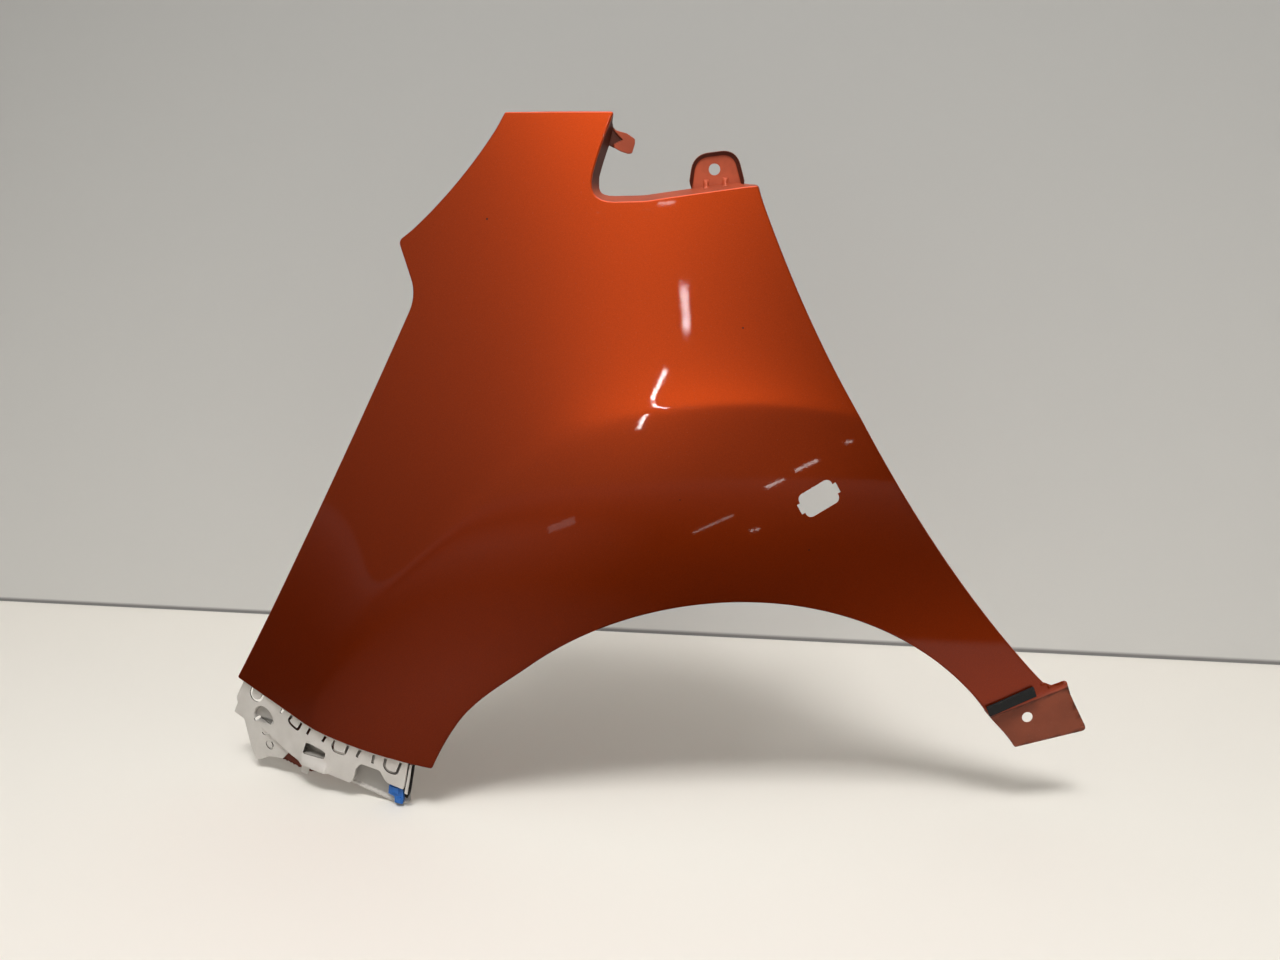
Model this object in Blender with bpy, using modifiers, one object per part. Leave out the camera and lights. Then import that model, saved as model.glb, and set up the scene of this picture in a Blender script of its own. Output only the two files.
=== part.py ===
"""Left front fender of a small hatchback, with the bumper side bracket still screwed on.

X runs rearwards, Y runs inboard (the painted skin faces -Y) and Z runs up, in the attitude in which
the loose panel stands on its two feet: the car's own upright leans 26 degrees forward of it.
The shapes are laid out around the wheel centre and then moved, so that the part's origin is the
bottom centre of its box.
"""

import math

import bmesh
import bpy
import numpy as np
from mathutils import Matrix, Vector
from mathutils.geometry import delaunay_2d_cdt

# Sheet and mesh
STEEL = 0.0008
CELL = 0.024
EDGE_STEP = 0.020
GAP = 0.0003
OVERCUT = 0.006
PATH_SAMPLES = 33
FILLET_FINER = 0.6
CORNER_STEPS = 3
GRID_CLEARANCE = 0.45
MERGE_DISTANCE = 1e-7
SLOPE_STEP = 0.001
ROUND_SIDES = 16
SHANK_SIDES = 20
HEAD_SIDES = 6
SHARP_ANGLE = 30.0

# Wheel arch and the crest of its flare, as radii about the wheel centre
ARCH_RADIUS = 0.3435
ARCH_FRONT_EXTRA = 0.0100
ARCH_REAR_EXTRA = 0.0065
ARCH_REAR_ANGLE = 28.0
ARCH_FRONT_ANGLE = 156.1
ARCH_REAR_EASE = (28.0, 36.0)
ARCH_FRONT_EASE = (128.0, 146.0)
CREST_RADIUS = 0.541
CREST_FRONT_DROP = 0.041
CREST_DROP_START = 106.0
CREST_DROP_END = 136.0

# Skin surface: roll in plan, lean towards the roof, flare above the crest, crown below it
CROWN_LINE = -0.044
FRONT_ROLL_RADIUS = 0.850
FRONT_ROLL_SLOPE = 0.90
REAR_ROLL_RADIUS = 1.000
REAR_ROLL_SLOPE = 0.28
LEAN_START = 0.330
LEAN_RADIUS = 1.650
LEAN_SLOPE = 0.60
FLARE_DEPTH = 0.024
FLARE_REACH = 0.060
CROWN_RADIUS = 1.670
CROWN_TOP = 0.520

# Corners of the skin, (x, z) from the wheel centre
LOW_FRONT = (-0.578, 0.201)
HEADLIGHT_TOP = (-0.3305, 0.6475)
HOOD_FRONT = (-0.3510, 0.7035)
SCREEN_FRONT = (-0.2360, 0.8320)
SCREEN_REAR = (-0.1235, 0.8290)
NOTCH_CORNER = (-0.1500, 0.7380)
LEDGE_KNEE = (-0.0700, 0.7390)
DOOR_TOP = (0.0215, 0.7545)

# Corners of the sill tab, from the arch's rear foot
DOOR_FOOT = (0.0225, 0.0772)
EAR_START = (0.0330, 0.0727)
EAR_TOP = (0.0500, 0.0777)
EAR_END = (0.0560, 0.0607)
TAB_REAR = (0.0770, 0.0202)

# How far each edge bows outwards from its chord
HEADLIGHT_BOW = -0.0075
HOOD_BOW = -0.0080
NOTCH_BOW = -0.0030
DOOR_BOW = -0.0335
BUMPER_BOW = 0.0110

# Fillet radii at the corners
SHARP = 0.003
HEADLIGHT_FILLET = 0.045
HOOD_FILLET = 0.008
NOTCH_FILLET = 0.017
KNEE_FILLET = 0.120
EAR_FILLET = 0.005

# Flanges: width, and lean outwards from straight inboard, in degrees
FLANGE_TAPER = 0.022
CORNER_FLANGE = 0.005
ARCH_LIP = 0.018
HEADLIGHT_FLANGE = 0.015
HEADLIGHT_LEAN = -6.0
HOOD_FLANGE = 0.020
HOOD_LEAN = -38.0
HOOD_LEAF = 0.026
HOOD_LEAF_LEAN = 12.0
SCREEN_FLANGE = 0.012
NOTCH_FLANGE = 0.016
NOTCH_LEAN = 24.0
LEDGE_LEAN = 27.0
DOOR_FLANGE = 0.012
DOOR_LEAN = -8.0
BUMPER_FLANGE = 0.020

# Bolt holes in the hood leaf: how far along the hood edge, and how far across the leaf
HOOD_BOLT = 0.009
HOOD_BOLT_PLACES = (0.32, 0.68)
HOOD_BOLT_ACROSS = 0.55

# Side lamp hole
LAMP_CENTRE = (0.0782, 0.4494)
LAMP_LENGTH = 0.037
LAMP_HEIGHT = 0.026
LAMP_CORNER = 0.006
LAMP_TILT = 30.0
LAMP_EAR_LENGTH = 0.0035
LAMP_EAR_HEIGHT = 0.011

# Sill tab below the foam strip, from the arch's rear foot
TAB_FOLD_START = (-0.0355, 0.0412)
TAB_FOLD_END = (0.0170, 0.0622)
TAB_STEP = 0.0095
TAB_FOLD_REACH = 0.010
TAB_HOLE = 0.0115
TAB_HOLE_CENTRE = (0.0115, 0.0347)

# Upper fixing tab: a shallow tray that stands on the ledge flange
UPPER_TAB_RISE = 0.0014
UPPER_TAB_HEIGHT = 0.0385
UPPER_TAB_FRONT = -0.0455
UPPER_TAB_REAR = 0.0075
UPPER_TAB_SHOULDER = 0.009
UPPER_TAB_SLANT = 0.0045
UPPER_TAB_FILLET = 0.012
UPPER_TAB_SETBACK = 0.0150
UPPER_TAB_RIM = 0.0050
UPPER_TAB_RIM_LEAN = 32.0
UPPER_TAB_HOLE = 0.0115
UPPER_TAB_HOLE_PLACE = (-0.003, 0.0235)

# Finger tab on the notch flange
FINGER_ROOT = (-0.1360, 0.8020)
FINGER_ROOT_OFFSET = 0.0060
FINGER_SETBACK = 0.0135
FINGER_WIDTH = 0.026
FINGER_REACH = 0.030
FINGER_STEP = 0.0050
FINGER_TILT = -11.0
# For each station: how far along the reach, how far down the step, and its share of the width
FINGER_STATIONS = ((-0.12, 0.0, 1.0), (0.40, 0.0, 0.85), (0.52, 1.0, 0.75), (1.0, 1.0, 0.62))

# Foam strip over the fold of the sill tab
FOAM_LENGTH = 0.055
FOAM_WIDTH = 0.0100
FOAM_THICKNESS = 0.0030
FOAM_CORNER = 0.0010
FOAM_CELL = 0.008

# Bumper side bracket, a moulding with a front wall, a top leaf and pockets. Its places are
# (share, drop): the share of the bumper edge from the arch on, and the drop below that edge
PLASTIC = 0.0020
WALL_CELL = 0.0155
WALL_SETBACK = 0.0050
LEAF_DEPTH = 0.0185
LEAF_STEP = 0.0005
LEAF_OVERLAP = 0.023
BRACKET_REAR = 0.1246
BRACKET_FRONT = 0.9674
BRACKET_TOP_POINTS = 14
WALL_REAR_FOOT = (0.1206, 0.0318)
RECESS_REAR_FOOT = (0.2054, 0.0354)
RECESS_REAR_TOP = (0.2294, 0.0201)
RECESS_FRONT_TOP = (0.3230, 0.0208)
RECESS_FRONT_FOOT = (0.3342, 0.0451)
WALL_MIDDLE_FOOT = (0.5799, 0.0472)
WING_NOTCH = (0.6577, 0.0479)
WING_REAR_FOOT = (0.6784, 0.0620)
WING_FRONT_FOOT = (0.8116, 0.0824)
WING_STEP = (0.9126, 0.0481)
WING_EAR_FOOT = (0.9703, 0.0507)
WING_EAR_TOP = (0.9834, 0.0295)
WING_TOP = (0.9695, 0.0107)
WING_SPLIT = (0.7777, 0.0481)
WING_SETBACK = 0.0050
WING_REACH = 0.006

# Openings of the bracket's front wall
SLOT_TOP = 0.0034
SLOT_WIDTH = 0.0016
SLOT_LENGTH = 0.0085
SLOT_PLACES = (0.7375, 0.5806, 0.5097, 0.3361, 0.2665)
TONGUE_PLACES = (0.8944, 0.6578, 0.4177, 0.1743)
TONGUE_WIDTH = 0.0140
TONGUE_LENGTH = 0.0120
TONGUE_CORNER = 0.0042
RING_SIDES = 12
WINDOW_CENTRE = (0.5329, 0.0250)
WINDOW_LENGTH = 0.0270
WINDOW_HEIGHT = 0.0125
WINDOW_CORNER = 0.003
POCKET_DEPTH = 0.0100
RING_CENTRE = (0.7632, 0.0557)
RING_HOLE = 0.0070
EYE_CENTRE = (0.8207, 0.0331)
EYE_LENGTH = 0.0200
EYE_HEIGHT = 0.0030
EYE_CORNER = 0.0014
EYE_TURN = 9.0

# Inner walls and ribs of the bracket
REAR_WALL_SETBACK = 0.0200
REAR_WALL_SINK = 0.0006
REAR_WALL_TOP_POINTS = 6
REAR_WALL_FRONT = 0.4099
REAR_WALL_FRONT_FOOT = (0.3738, 0.0516)
REAR_WALL_MIDDLE_FOOT = (0.1660, 0.0602)
REAR_WALL_REAR_FOOT = (0.1036, 0.0560)
END_WALL = 0.0036
END_WALL_PLACE = 0.1036
END_WALL_DROP = 0.0410
SIDE_WALL_PLACE = 0.3983
SIDE_WALL_DROP = 0.0400
RIB_PLACES = (0.8459, 0.6063, 0.4685)
RIB_DROP = 0.0120
RIB_THICKNESS = 0.0018
UPRIGHT_SINK = 0.0012
UPRIGHT_STEP = 0.010

# Steel strap behind the bracket
STRAP_POINTS = 6
STRAP_FRONT = 0.7200
STRAP_REAR = 0.4700
STRAP_STEEL = 0.0012
STRAP_LEAF = 0.0150
STRAP_FRONT_DROP = 0.0745
STRAP_REAR_DROP = 0.0540
STRAP_SETBACK = 0.0240

# Screws that hold the bracket to the bumper flange
SCREW_PLACES = (0.6857, 0.3013)
SCREW_HOLE = 0.0062
SCREW_SHANK = 0.0050
SCREW_LENGTH = 0.0110
SCREW_FLANGE = 0.0096
SCREW_FLANGE_THICKNESS = 0.0012
SCREW_HEAD = 0.0070
SCREW_HEAD_HEIGHT = 0.0040
SCREW_INSET = 0.0140

# Clip nut on the end wall and the blue clip on the rear wall
NUT_STEEL = 0.0010
NUT_WIDTH = 0.0100
NUT_TOP = 0.0080
CLIP_CENTRE = (0.1670, 0.0487)
CLIP_LENGTH = 0.0150
CLIP_HEIGHT = 0.0170
CLIP_THICKNESS = 0.0050
CLIP_CORNER = 0.0015
CLIP_COLLAR = 0.0110
CLIP_PIN = 0.0060
CLIP_LIP = 0.0025

PARTS = "car_fender"
CUTTERS = "cutters"


def clear_scene():
    for obj in list(bpy.data.objects):
        bpy.data.objects.remove(obj)
    for name in (PARTS, CUTTERS):
        collection = bpy.data.collections.new(name)
        bpy.context.scene.collection.children.link(collection)


def ease(low, high, value):
    """0 below low, 1 above high, and a smooth rise between them."""
    share = np.clip((value - low) / (high - low), 0.0, 1.0)
    return share * share * (3.0 - 2.0 * share)


def roll(distance, radius, slope):
    """How far a sheet falls away, starting with a radius and straightening towards a slope."""
    reach = slope * radius
    return slope * (np.hypot(np.maximum(distance, 0.0), reach) - reach)


def crest_radius(angle):
    """Radius of the flare's crest at an angle in radians from +X."""
    drop = ease(CREST_DROP_START, CREST_DROP_END, np.degrees(angle))
    return CREST_RADIUS - CREST_FRONT_DROP * drop


def open_skin_depth(x, z):
    """How far inboard the outer face of the skin lies, before the sill tab is folded."""
    radius = np.hypot(x, z)
    crest = crest_radius(np.arctan2(z, x))
    plan = roll(CROWN_LINE - x, FRONT_ROLL_RADIUS, FRONT_ROLL_SLOPE)
    plan = plan + roll(x - CROWN_LINE, REAR_ROLL_RADIUS, REAR_ROLL_SLOPE)
    lean = roll(z - LEAN_START, LEAN_RADIUS, LEAN_SLOPE)
    flare = FLARE_DEPTH * (1.0 - np.exp(-np.maximum(radius - crest, 0.0) / FLARE_REACH))
    crown = (np.minimum(radius, crest) - CROWN_TOP) ** 2 / (2.0 * CROWN_RADIUS)
    return plan + lean + flare + crown


def past_fold(x, z):
    """Distance past the fold line of the sill tab, positive on the tab."""
    start, end = sill_point(TAB_FOLD_START), sill_point(TAB_FOLD_END)
    run = (end - start) / math.dist(start, end)
    return (x - start[0]) * run[1] - (z - start[1]) * run[0]


def tab_depth():
    """Depth of the flat sill tab: a step further in than the skin at its fold."""
    middle = (sill_point(TAB_FOLD_START) + sill_point(TAB_FOLD_END)) / 2.0
    return float(open_skin_depth(*middle)) + TAB_STEP


def skin_depth(x, z):
    """How far inboard the outer face of the skin lies."""
    tab = ease(0.0, TAB_FOLD_REACH, past_fold(x, z))
    return open_skin_depth(x, z) * (1.0 - tab) + tab_depth() * tab


def polar(angle, radius):
    return np.array((math.cos(math.radians(angle)), math.sin(math.radians(angle)))) * radius


def arch_point(share):
    """Point of the wheel arch, from its rear foot at share 0 to its front foot at share 1."""
    angle = ARCH_REAR_ANGLE + share * (ARCH_FRONT_ANGLE - ARCH_REAR_ANGLE)
    front = ease(*ARCH_FRONT_EASE, angle)
    rear = 1.0 - ease(*ARCH_REAR_EASE, angle)
    return polar(angle, ARCH_RADIUS + front * ARCH_FRONT_EXTRA + rear * ARCH_REAR_EXTRA)


def sill_point(offset):
    return arch_point(0.0) + np.array(offset)


def bowed(start, end, bow=0.0):
    """A path from start to end that stands bow to the left of its chord."""
    start = np.array(start)
    chord = np.array(end) - start
    left = np.array((-chord[1], chord[0])) / np.hypot(*chord)
    return lambda share: start + chord * share + left * (4.0 * bow * share * (1.0 - share))


def bumper_point(share):
    """Point of the bumper edge, from the arch at share 0 to the low front corner at share 1."""
    return bowed(arch_point(1.0), LOW_FRONT, BUMPER_BOW)(share)


def bumper_frame(share):
    """Point of the bumper edge, its direction towards the front, and its outward normal."""
    along = bumper_point(share + SLOPE_STEP) - bumper_point(share - SLOPE_STEP)
    along = along / np.hypot(*along)
    return bumper_point(share), along, np.array((-along[1], along[0]))


def below_edge(place):
    """Point (x, z) at a share of the bumper edge and a drop below it."""
    point, _, outward = bumper_frame(place[0])
    return tuple(point + outward * place[1])


def edge_tilt(share):
    """Tilt in degrees of something laid along the bumper edge."""
    _, along, _ = bumper_frame(share)
    return math.degrees(math.atan2(-along[1], -along[0]))


def panel_edges():
    """The edges in clockwise order: start corner, fillet, flange at the corner, path, flanges."""
    small = (CORNER_FLANGE, 0.0)
    headlight = (HEADLIGHT_FLANGE, HEADLIGHT_LEAN)
    hood = (HOOD_FLANGE, HOOD_LEAN, HOOD_LEAF, HOOD_LEAF_LEAN)
    notch = (NOTCH_FLANGE, NOTCH_LEAN)
    ledge = (NOTCH_FLANGE, LEDGE_LEAN)
    return (
        (LOW_FRONT, SHARP, (HEADLIGHT_FLANGE, 0.0), HEADLIGHT_BOW, headlight),
        (HEADLIGHT_TOP, HEADLIGHT_FILLET, headlight, 0.0, small),
        (HOOD_FRONT, HOOD_FILLET, small, HOOD_BOW, hood),
        (SCREEN_FRONT, SHARP, small, 0.0, (SCREEN_FLANGE, 0.0)),
        (SCREEN_REAR, SHARP, small, NOTCH_BOW, notch),
        (NOTCH_CORNER, NOTCH_FILLET, ledge, 0.0, ledge),
        (LEDGE_KNEE, KNEE_FILLET, ledge, 0.0, ledge),
        (DOOR_TOP, SHARP, small, DOOR_BOW, (DOOR_FLANGE, DOOR_LEAN)),
        (sill_point(DOOR_FOOT), SHARP, None, 0.0, None),
        (sill_point(EAR_START), SHARP, None, 0.0, None),
        (sill_point(EAR_TOP), EAR_FILLET, None, 0.0, None),
        (sill_point(EAR_END), SHARP, None, 0.0, None),
        (sill_point(TAB_REAR), SHARP, None, 0.0, None),
        (arch_point(0.0), SHARP, None, arch_point, (ARCH_LIP, 0.0)),
        (arch_point(1.0), SHARP, (ARCH_LIP, 0.0), BUMPER_BOW, (BUMPER_FLANGE, 0.0)),
    )


def flange_between(share, length, edge, before, after):
    """The flange at a share of an edge, blended from its corners' flanges."""
    if edge is None:
        return None
    start = ease(0.0, FLANGE_TAPER, share * length)
    end = ease(0.0, FLANGE_TAPER, (1.0 - share) * length)
    before = before or (CORNER_FLANGE, 0.0)
    after = after or (CORNER_FLANGE, 0.0)
    blended = []
    for index in range(2):
        value = before[index] + (edge[index] - before[index]) * start
        blended.append(after[index] + (value - after[index]) * end)
    if len(edge) > 2 and min(start, end) == 1.0:
        blended += edge[2:]
    return tuple(blended)


def turn_cut(path_in, path_out, radius):
    """How much of both edges a fillet of this radius takes away."""
    come = path_in(1.0) - path_in(1.0 - SLOPE_STEP)
    leave = path_out(SLOPE_STEP) - path_out(0.0)
    cosine = np.dot(come, leave) / (np.hypot(*come) * np.hypot(*leave))
    return radius * math.tan(math.acos(max(-1.0, min(1.0, cosine))) / 2.0)


def panel_outline(step):
    """The skin's outline, counter-clockwise seen from outside, as (x, z, flange) points."""
    edges = panel_edges()
    count = len(edges)
    paths = []
    for index, (corner, _, _, bow, _) in enumerate(edges):
        following = edges[(index + 1) % count][0]
        paths.append(bow if callable(bow) else bowed(corner, following, bow))
    cuts = [turn_cut(paths[i - 1], paths[i], edges[i][1]) for i in range(count)]
    points = []
    for index, (corner, radius, corner_flange, _, flange) in enumerate(edges):
        path = paths[index]
        pieces = [path(share) for share in np.linspace(0.0, 1.0, PATH_SAMPLES)]
        length = sum(np.hypot(*(b - a)) for a, b in zip(pieces, pieces[1:]))
        first = cuts[index] / length
        last = 1.0 - cuts[(index + 1) % count] / length
        come = paths[index - 1]
        come_pieces = np.hypot(*(come(1.0) - come(0.0)))
        fillet_start = come(1.0 - cuts[index] / come_pieces)
        fillet_end = path(first)
        fillet_steps = 1 + math.ceil(cuts[index] * 2.0 / (FILLET_FINER * step))
        for share in np.linspace(0.0, 1.0, fillet_steps + 1)[1:-1]:
            rest = 1.0 - share
            place = rest * rest * fillet_start + 2.0 * rest * share * np.array(corner)
            points.append((*(place + share * share * fillet_end), corner_flange))
        steps = max(1, round(length * (last - first) / step)) if flange else 1
        after = edges[(index + 1) % count][2]
        for share in np.linspace(first, last, steps + 1):
            blended = flange_between(share, length, flange, corner_flange, after)
            points.append((*path(share), blended))
    return points[::-1]


def turned(centre, points, tilt):
    """Points laid out around the origin, turned by a tilt in degrees and moved to a centre."""
    cosine, sine = polar(tilt, 1.0)
    return [
        (centre[0] + x * cosine - z * sine, centre[1] + x * sine + z * cosine) for x, z in points
    ]


def rounded_box(centre, length, height, radius, tilt):
    """Counter-clockwise corners of a rounded rectangle that is tilted in degrees."""
    points = []
    for quarter in range(4):
        side = 1.0 if quarter in (0, 3) else -1.0
        top = 1.0 if quarter in (0, 1) else -1.0
        middle = (side * (length / 2.0 - radius), top * (height / 2.0 - radius))
        for part in range(CORNER_STEPS + 1):
            points.append(middle + polar(90.0 * (quarter + part / CORNER_STEPS), radius))
    return turned(centre, points, tilt)


def lamp_hole():
    """The side lamp hole: a rounded rectangle with a small ear at both ends."""
    half_length = LAMP_LENGTH / 2.0
    half_ear = LAMP_EAR_HEIGHT / 2.0
    body = rounded_box((0.0, 0.0), LAMP_LENGTH, LAMP_HEIGHT, LAMP_CORNER, 0.0)
    ear = half_length + LAMP_EAR_LENGTH
    rear = [(half_length, -half_ear), (ear, -half_ear), (ear, half_ear), (half_length, half_ear)]
    front = [(-x, -z) for x, z in rear]
    half = len(body) // 2
    return turned(LAMP_CENTRE, body[:half] + front + body[half:] + rear, LAMP_TILT)


def circle(centre, diameter, sides=ROUND_SIDES):
    return [tuple(centre + polar(360.0 * k / sides, diameter / 2.0)) for k in range(sides)]


def unrolled(x, z):
    """Panel coordinates: distance around the wheel centre, and height above the crest."""
    angle = np.arctan2(z, x)
    return -angle * CREST_RADIUS, np.hypot(x, z) - crest_radius(angle)


def rolled(around, above):
    angle = -around / CREST_RADIUS
    radius = above + crest_radius(angle)
    return radius * np.cos(angle), radius * np.sin(angle)


def flat(x, z):
    return x, z


def inside(loop, u, v):
    """Which of the points (u, v) lie inside a closed loop."""
    hits = np.zeros(u.shape, bool)
    for (u0, v0), (u1, v1) in zip(loop, np.roll(loop, -1, axis=0)):
        if v0 != v1:
            across = u0 + (v - v0) * (u1 - u0) / (v1 - v0)
            hits ^= ((v0 > v) != (v1 > v)) & (u < across)
    return hits


def distance_to(loop, u, v):
    """Distance of the points (u, v) to a closed loop."""
    nearest = np.full(u.shape, np.inf)
    for (u0, v0), (u1, v1) in zip(loop, np.roll(loop, -1, axis=0)):
        run = np.array((u1 - u0, v1 - v0))
        square = max(run @ run, 1e-12)
        share = np.clip(((u - u0) * run[0] + (v - v0) * run[1]) / square, 0.0, 1.0)
        nearest = np.minimum(nearest, np.hypot(u - u0 - share * run[0], v - v0 - share * run[1]))
    return nearest


def grid_inside(loops, cell):
    """Points of a square grid that lie inside the first loop and clear of every loop."""
    outer = loops[0]
    low = np.floor(outer.min(axis=0) / cell) * cell
    high = outer.max(axis=0)
    u, v = np.meshgrid(np.arange(low[0], high[0], cell), np.arange(low[1], high[1], cell))
    keep = inside(outer, u, v)
    for loop in loops:
        keep &= distance_to(loop, u, v) > GRID_CLEARANCE * cell
    for loop in loops[1:]:
        keep &= ~inside(loop, u, v)
    return np.column_stack((u[keep], v[keep]))


def filled_sheet(outline, holes, cell, depth, to_plane=flat, from_plane=flat):
    """A bmesh that fills an outline less its holes and lies on the surface y = depth(x, z).

    The outline's own points come first among the vertices, in their order.
    """
    loops = [np.array([to_plane(*point[:2]) for point in loop]) for loop in (outline, *holes)]
    places = [tuple(p) for loop in loops for p in loop]
    rings = []
    start = 0
    for loop in loops:
        rings.append(list(range(start, start + len(loop))))
        start += len(loop)
    places += [tuple(p) for p in grid_inside(loops, cell)]
    found = delaunay_2d_cdt([Vector(p) for p in places], [], rings, 1, MERGE_DISTANCE)
    bm = bmesh.new()
    for u, v in found[0]:
        x, z = from_plane(u, v)
        bm.verts.new((x, depth(x, z), z))
    bm.verts.ensure_lookup_table()
    for corners, sources in zip(found[2], found[5]):
        if all(source == 0 for source in sources):
            bm.faces.new([bm.verts[index] for index in corners])
    return bm


def outward_normals(outline):
    """Outward direction in the x-z plane at each point of a counter-clockwise outline."""
    points = np.array([point[:2] for point in outline])
    along = np.roll(points, -1, axis=0) - np.roll(points, 1, axis=0)
    along /= np.hypot(along[:, 0], along[:, 1])[:, None]
    return np.column_stack((along[:, 1], -along[:, 0]))


def add_flanges(bm, outline, inboard=1.0):
    """Folds the flanges that the outline's points name, one leaf after the other."""
    normals = outward_normals(outline)
    bm.verts.ensure_lookup_table()
    ring = [bm.verts[index] for index in range(len(outline))]
    for leaf in range(2):
        following = []
        for vert, (nx, nz), (_, _, flange) in zip(ring, normals, outline):
            if vert is None or flange is None or len(flange) <= 2 * leaf:
                following.append(None)
                continue
            width = flange[2 * leaf]
            lean = math.radians(flange[2 * leaf + 1])
            side = math.sin(lean) * width
            fold = Vector((nx * side, inboard * math.cos(lean) * width, nz * side))
            following.append(bm.verts.new(vert.co + fold))
        for index in range(len(ring)):
            after = (index + 1) % len(ring)
            corners = (ring[after], ring[index], following[index], following[after])
            if None not in corners:
                bm.faces.new(corners)
        ring = following


def object_from(bm, name, collection=PARTS):
    mesh = bpy.data.meshes.new(name)
    bm.to_mesh(mesh)
    bm.free()
    obj = bpy.data.objects.new(name, mesh)
    bpy.data.collections[collection].objects.link(obj)
    return obj


def thicken(obj, thickness, offset=-1.0):
    """Turns an open sheet into a closed wall. Its modelled face stays where it is."""
    wall = obj.modifiers.new("wall", "SOLIDIFY")
    wall.thickness = thickness
    wall.offset = offset
    wall.use_even_offset = True
    apply_modifiers(obj)


def apply_modifiers(obj):
    graph = bpy.context.evaluated_depsgraph_get()
    mesh = bpy.data.meshes.new_from_object(obj.evaluated_get(graph))
    bm = bmesh.new()
    bm.from_mesh(mesh)
    bmesh.ops.triangulate(bm, faces=bm.faces)
    bm.to_mesh(mesh)
    bm.free()
    obj.modifiers.clear()
    old = obj.data
    obj.data = mesh
    bpy.data.meshes.remove(old)
    mesh.name = obj.name


def rod(name, start, axis, diameter, length, sides=SHANK_SIDES, collection=PARTS):
    """A round bar, or a hexagonal one with six sides, from a start point along an axis."""
    bm = bmesh.new()
    radius = diameter / 2.0
    bmesh.ops.create_cone(
        bm, cap_ends=True, segments=sides, radius1=radius, radius2=radius, depth=length
    )
    axis = Vector(axis).normalized()
    turn = axis.to_track_quat("Z", "Y").to_matrix().to_4x4()
    place = Matrix.Translation(Vector(start) + axis * (length / 2.0))
    bmesh.ops.transform(bm, matrix=place @ turn, verts=bm.verts)
    return object_from(bm, name, collection)


def combine(obj, other, operation):
    """Cuts or joins, applies the result, and removes a joined piece or hides a cutter."""
    boolean = obj.modifiers.new(operation.lower(), "BOOLEAN")
    boolean.operation = operation
    boolean.solver = "EXACT"
    boolean.object = other
    apply_modifiers(obj)
    if operation == "UNION":
        bpy.data.objects.remove(other)
    else:
        other.hide_render = True
        other.display_type = "WIRE"


def tangent(centre, depth):
    """The plane that touches a surface y = depth(x, z) at one point, as another such surface."""
    x0, z0 = centre
    base = depth(x0, z0)
    slope_x = (depth(x0 + SLOPE_STEP, z0) - base) / SLOPE_STEP
    slope_z = (depth(x0, z0 + SLOPE_STEP) - base) / SLOPE_STEP
    return lambda x, z: base + slope_x * (x - x0) + slope_z * (z - z0)


def plate(name, outline, low, high, depth, collection=PARTS):
    """A block cut to a counter-clockwise outline in x and z, between two offsets from a plane."""
    bm = bmesh.new()
    near = [bm.verts.new((x, depth(x, z) + low, z)) for x, z in outline]
    far = [bm.verts.new((x, depth(x, z) + high, z)) for x, z in outline]
    bm.faces.new(near)
    bm.faces.new(far[::-1])
    for index in range(len(outline)):
        after = (index + 1) % len(outline)
        bm.faces.new((near[after], near[index], far[index], far[after]))
    return object_from(bm, name, collection)


def lofted(name, rows, thickness):
    """A bent sheet through rows of points, thickened away from its modelled face."""
    bm = bmesh.new()
    lines = [[bm.verts.new(point) for point in row] for row in rows]
    for line, following in zip(lines, lines[1:]):
        for index in range(len(line) - 1):
            bm.faces.new((line[index], line[index + 1], following[index + 1], following[index]))
    sheet = object_from(bm, name)
    thicken(sheet, thickness)
    return sheet


def upper_tab_middle():
    """Point where the tab stands: just above the ledge line, halfway along the tab's foot."""
    x = (UPPER_TAB_FRONT + UPPER_TAB_REAR) / 2.0
    share = (x - LEDGE_KNEE[0]) / (DOOR_TOP[0] - LEDGE_KNEE[0])
    return x, LEDGE_KNEE[1] + share * (DOOR_TOP[1] - LEDGE_KNEE[1]) + UPPER_TAB_RISE


def upper_tab_depth():
    """Depth of the tab's plate: the skin's own depth there, set back by most of the flange."""
    return float(skin_depth(*upper_tab_middle())) + UPPER_TAB_SETBACK


def upper_tab_outline():
    """Counter-clockwise outline of the tab's plate, with its rim as a flange."""
    foot = upper_tab_middle()[1]
    top = foot + UPPER_TAB_HEIGHT
    rim = (UPPER_TAB_RIM, UPPER_TAB_RIM_LEAN)
    front_foot = (UPPER_TAB_FRONT, foot)
    rear_foot = (UPPER_TAB_REAR, foot)
    rear_top = (UPPER_TAB_REAR - UPPER_TAB_SHOULDER, top)
    front_top = (UPPER_TAB_FRONT + UPPER_TAB_SLANT, top - UPPER_TAB_SLANT)
    outline = [(*front_foot, rim), (*rear_foot, rim)]
    for before, corner, after in (
        (rear_foot, rear_top, front_top),
        (rear_top, front_top, front_foot),
    ):
        corner = np.array(corner)
        start = corner + (before - corner) / math.dist(before, corner) * UPPER_TAB_FILLET
        end = corner + (after - corner) / math.dist(after, corner) * UPPER_TAB_FILLET
        for share in np.linspace(0.0, 1.0, CORNER_STEPS + 2):
            rest = 1.0 - share
            place = rest * rest * start + 2.0 * rest * share * corner + share * share * end
            outline.append((*place, rim))
    return outline


def upper_tab():
    """The tray-shaped tab above the door end of the ledge, with a rim folded outwards."""
    outline = upper_tab_outline()
    depth = upper_tab_depth()
    hole = circle(np.add(upper_tab_middle(), UPPER_TAB_HOLE_PLACE), UPPER_TAB_HOLE)
    sheet = filled_sheet(outline, [hole], EDGE_STEP, lambda x, z: depth)
    add_flanges(sheet, outline, inboard=-1.0)
    drop_rim(sheet, outline[0], outline[1])
    tab = object_from(sheet, "upper_tab")
    thicken(tab, STEEL, 1.0)
    return tab


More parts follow.
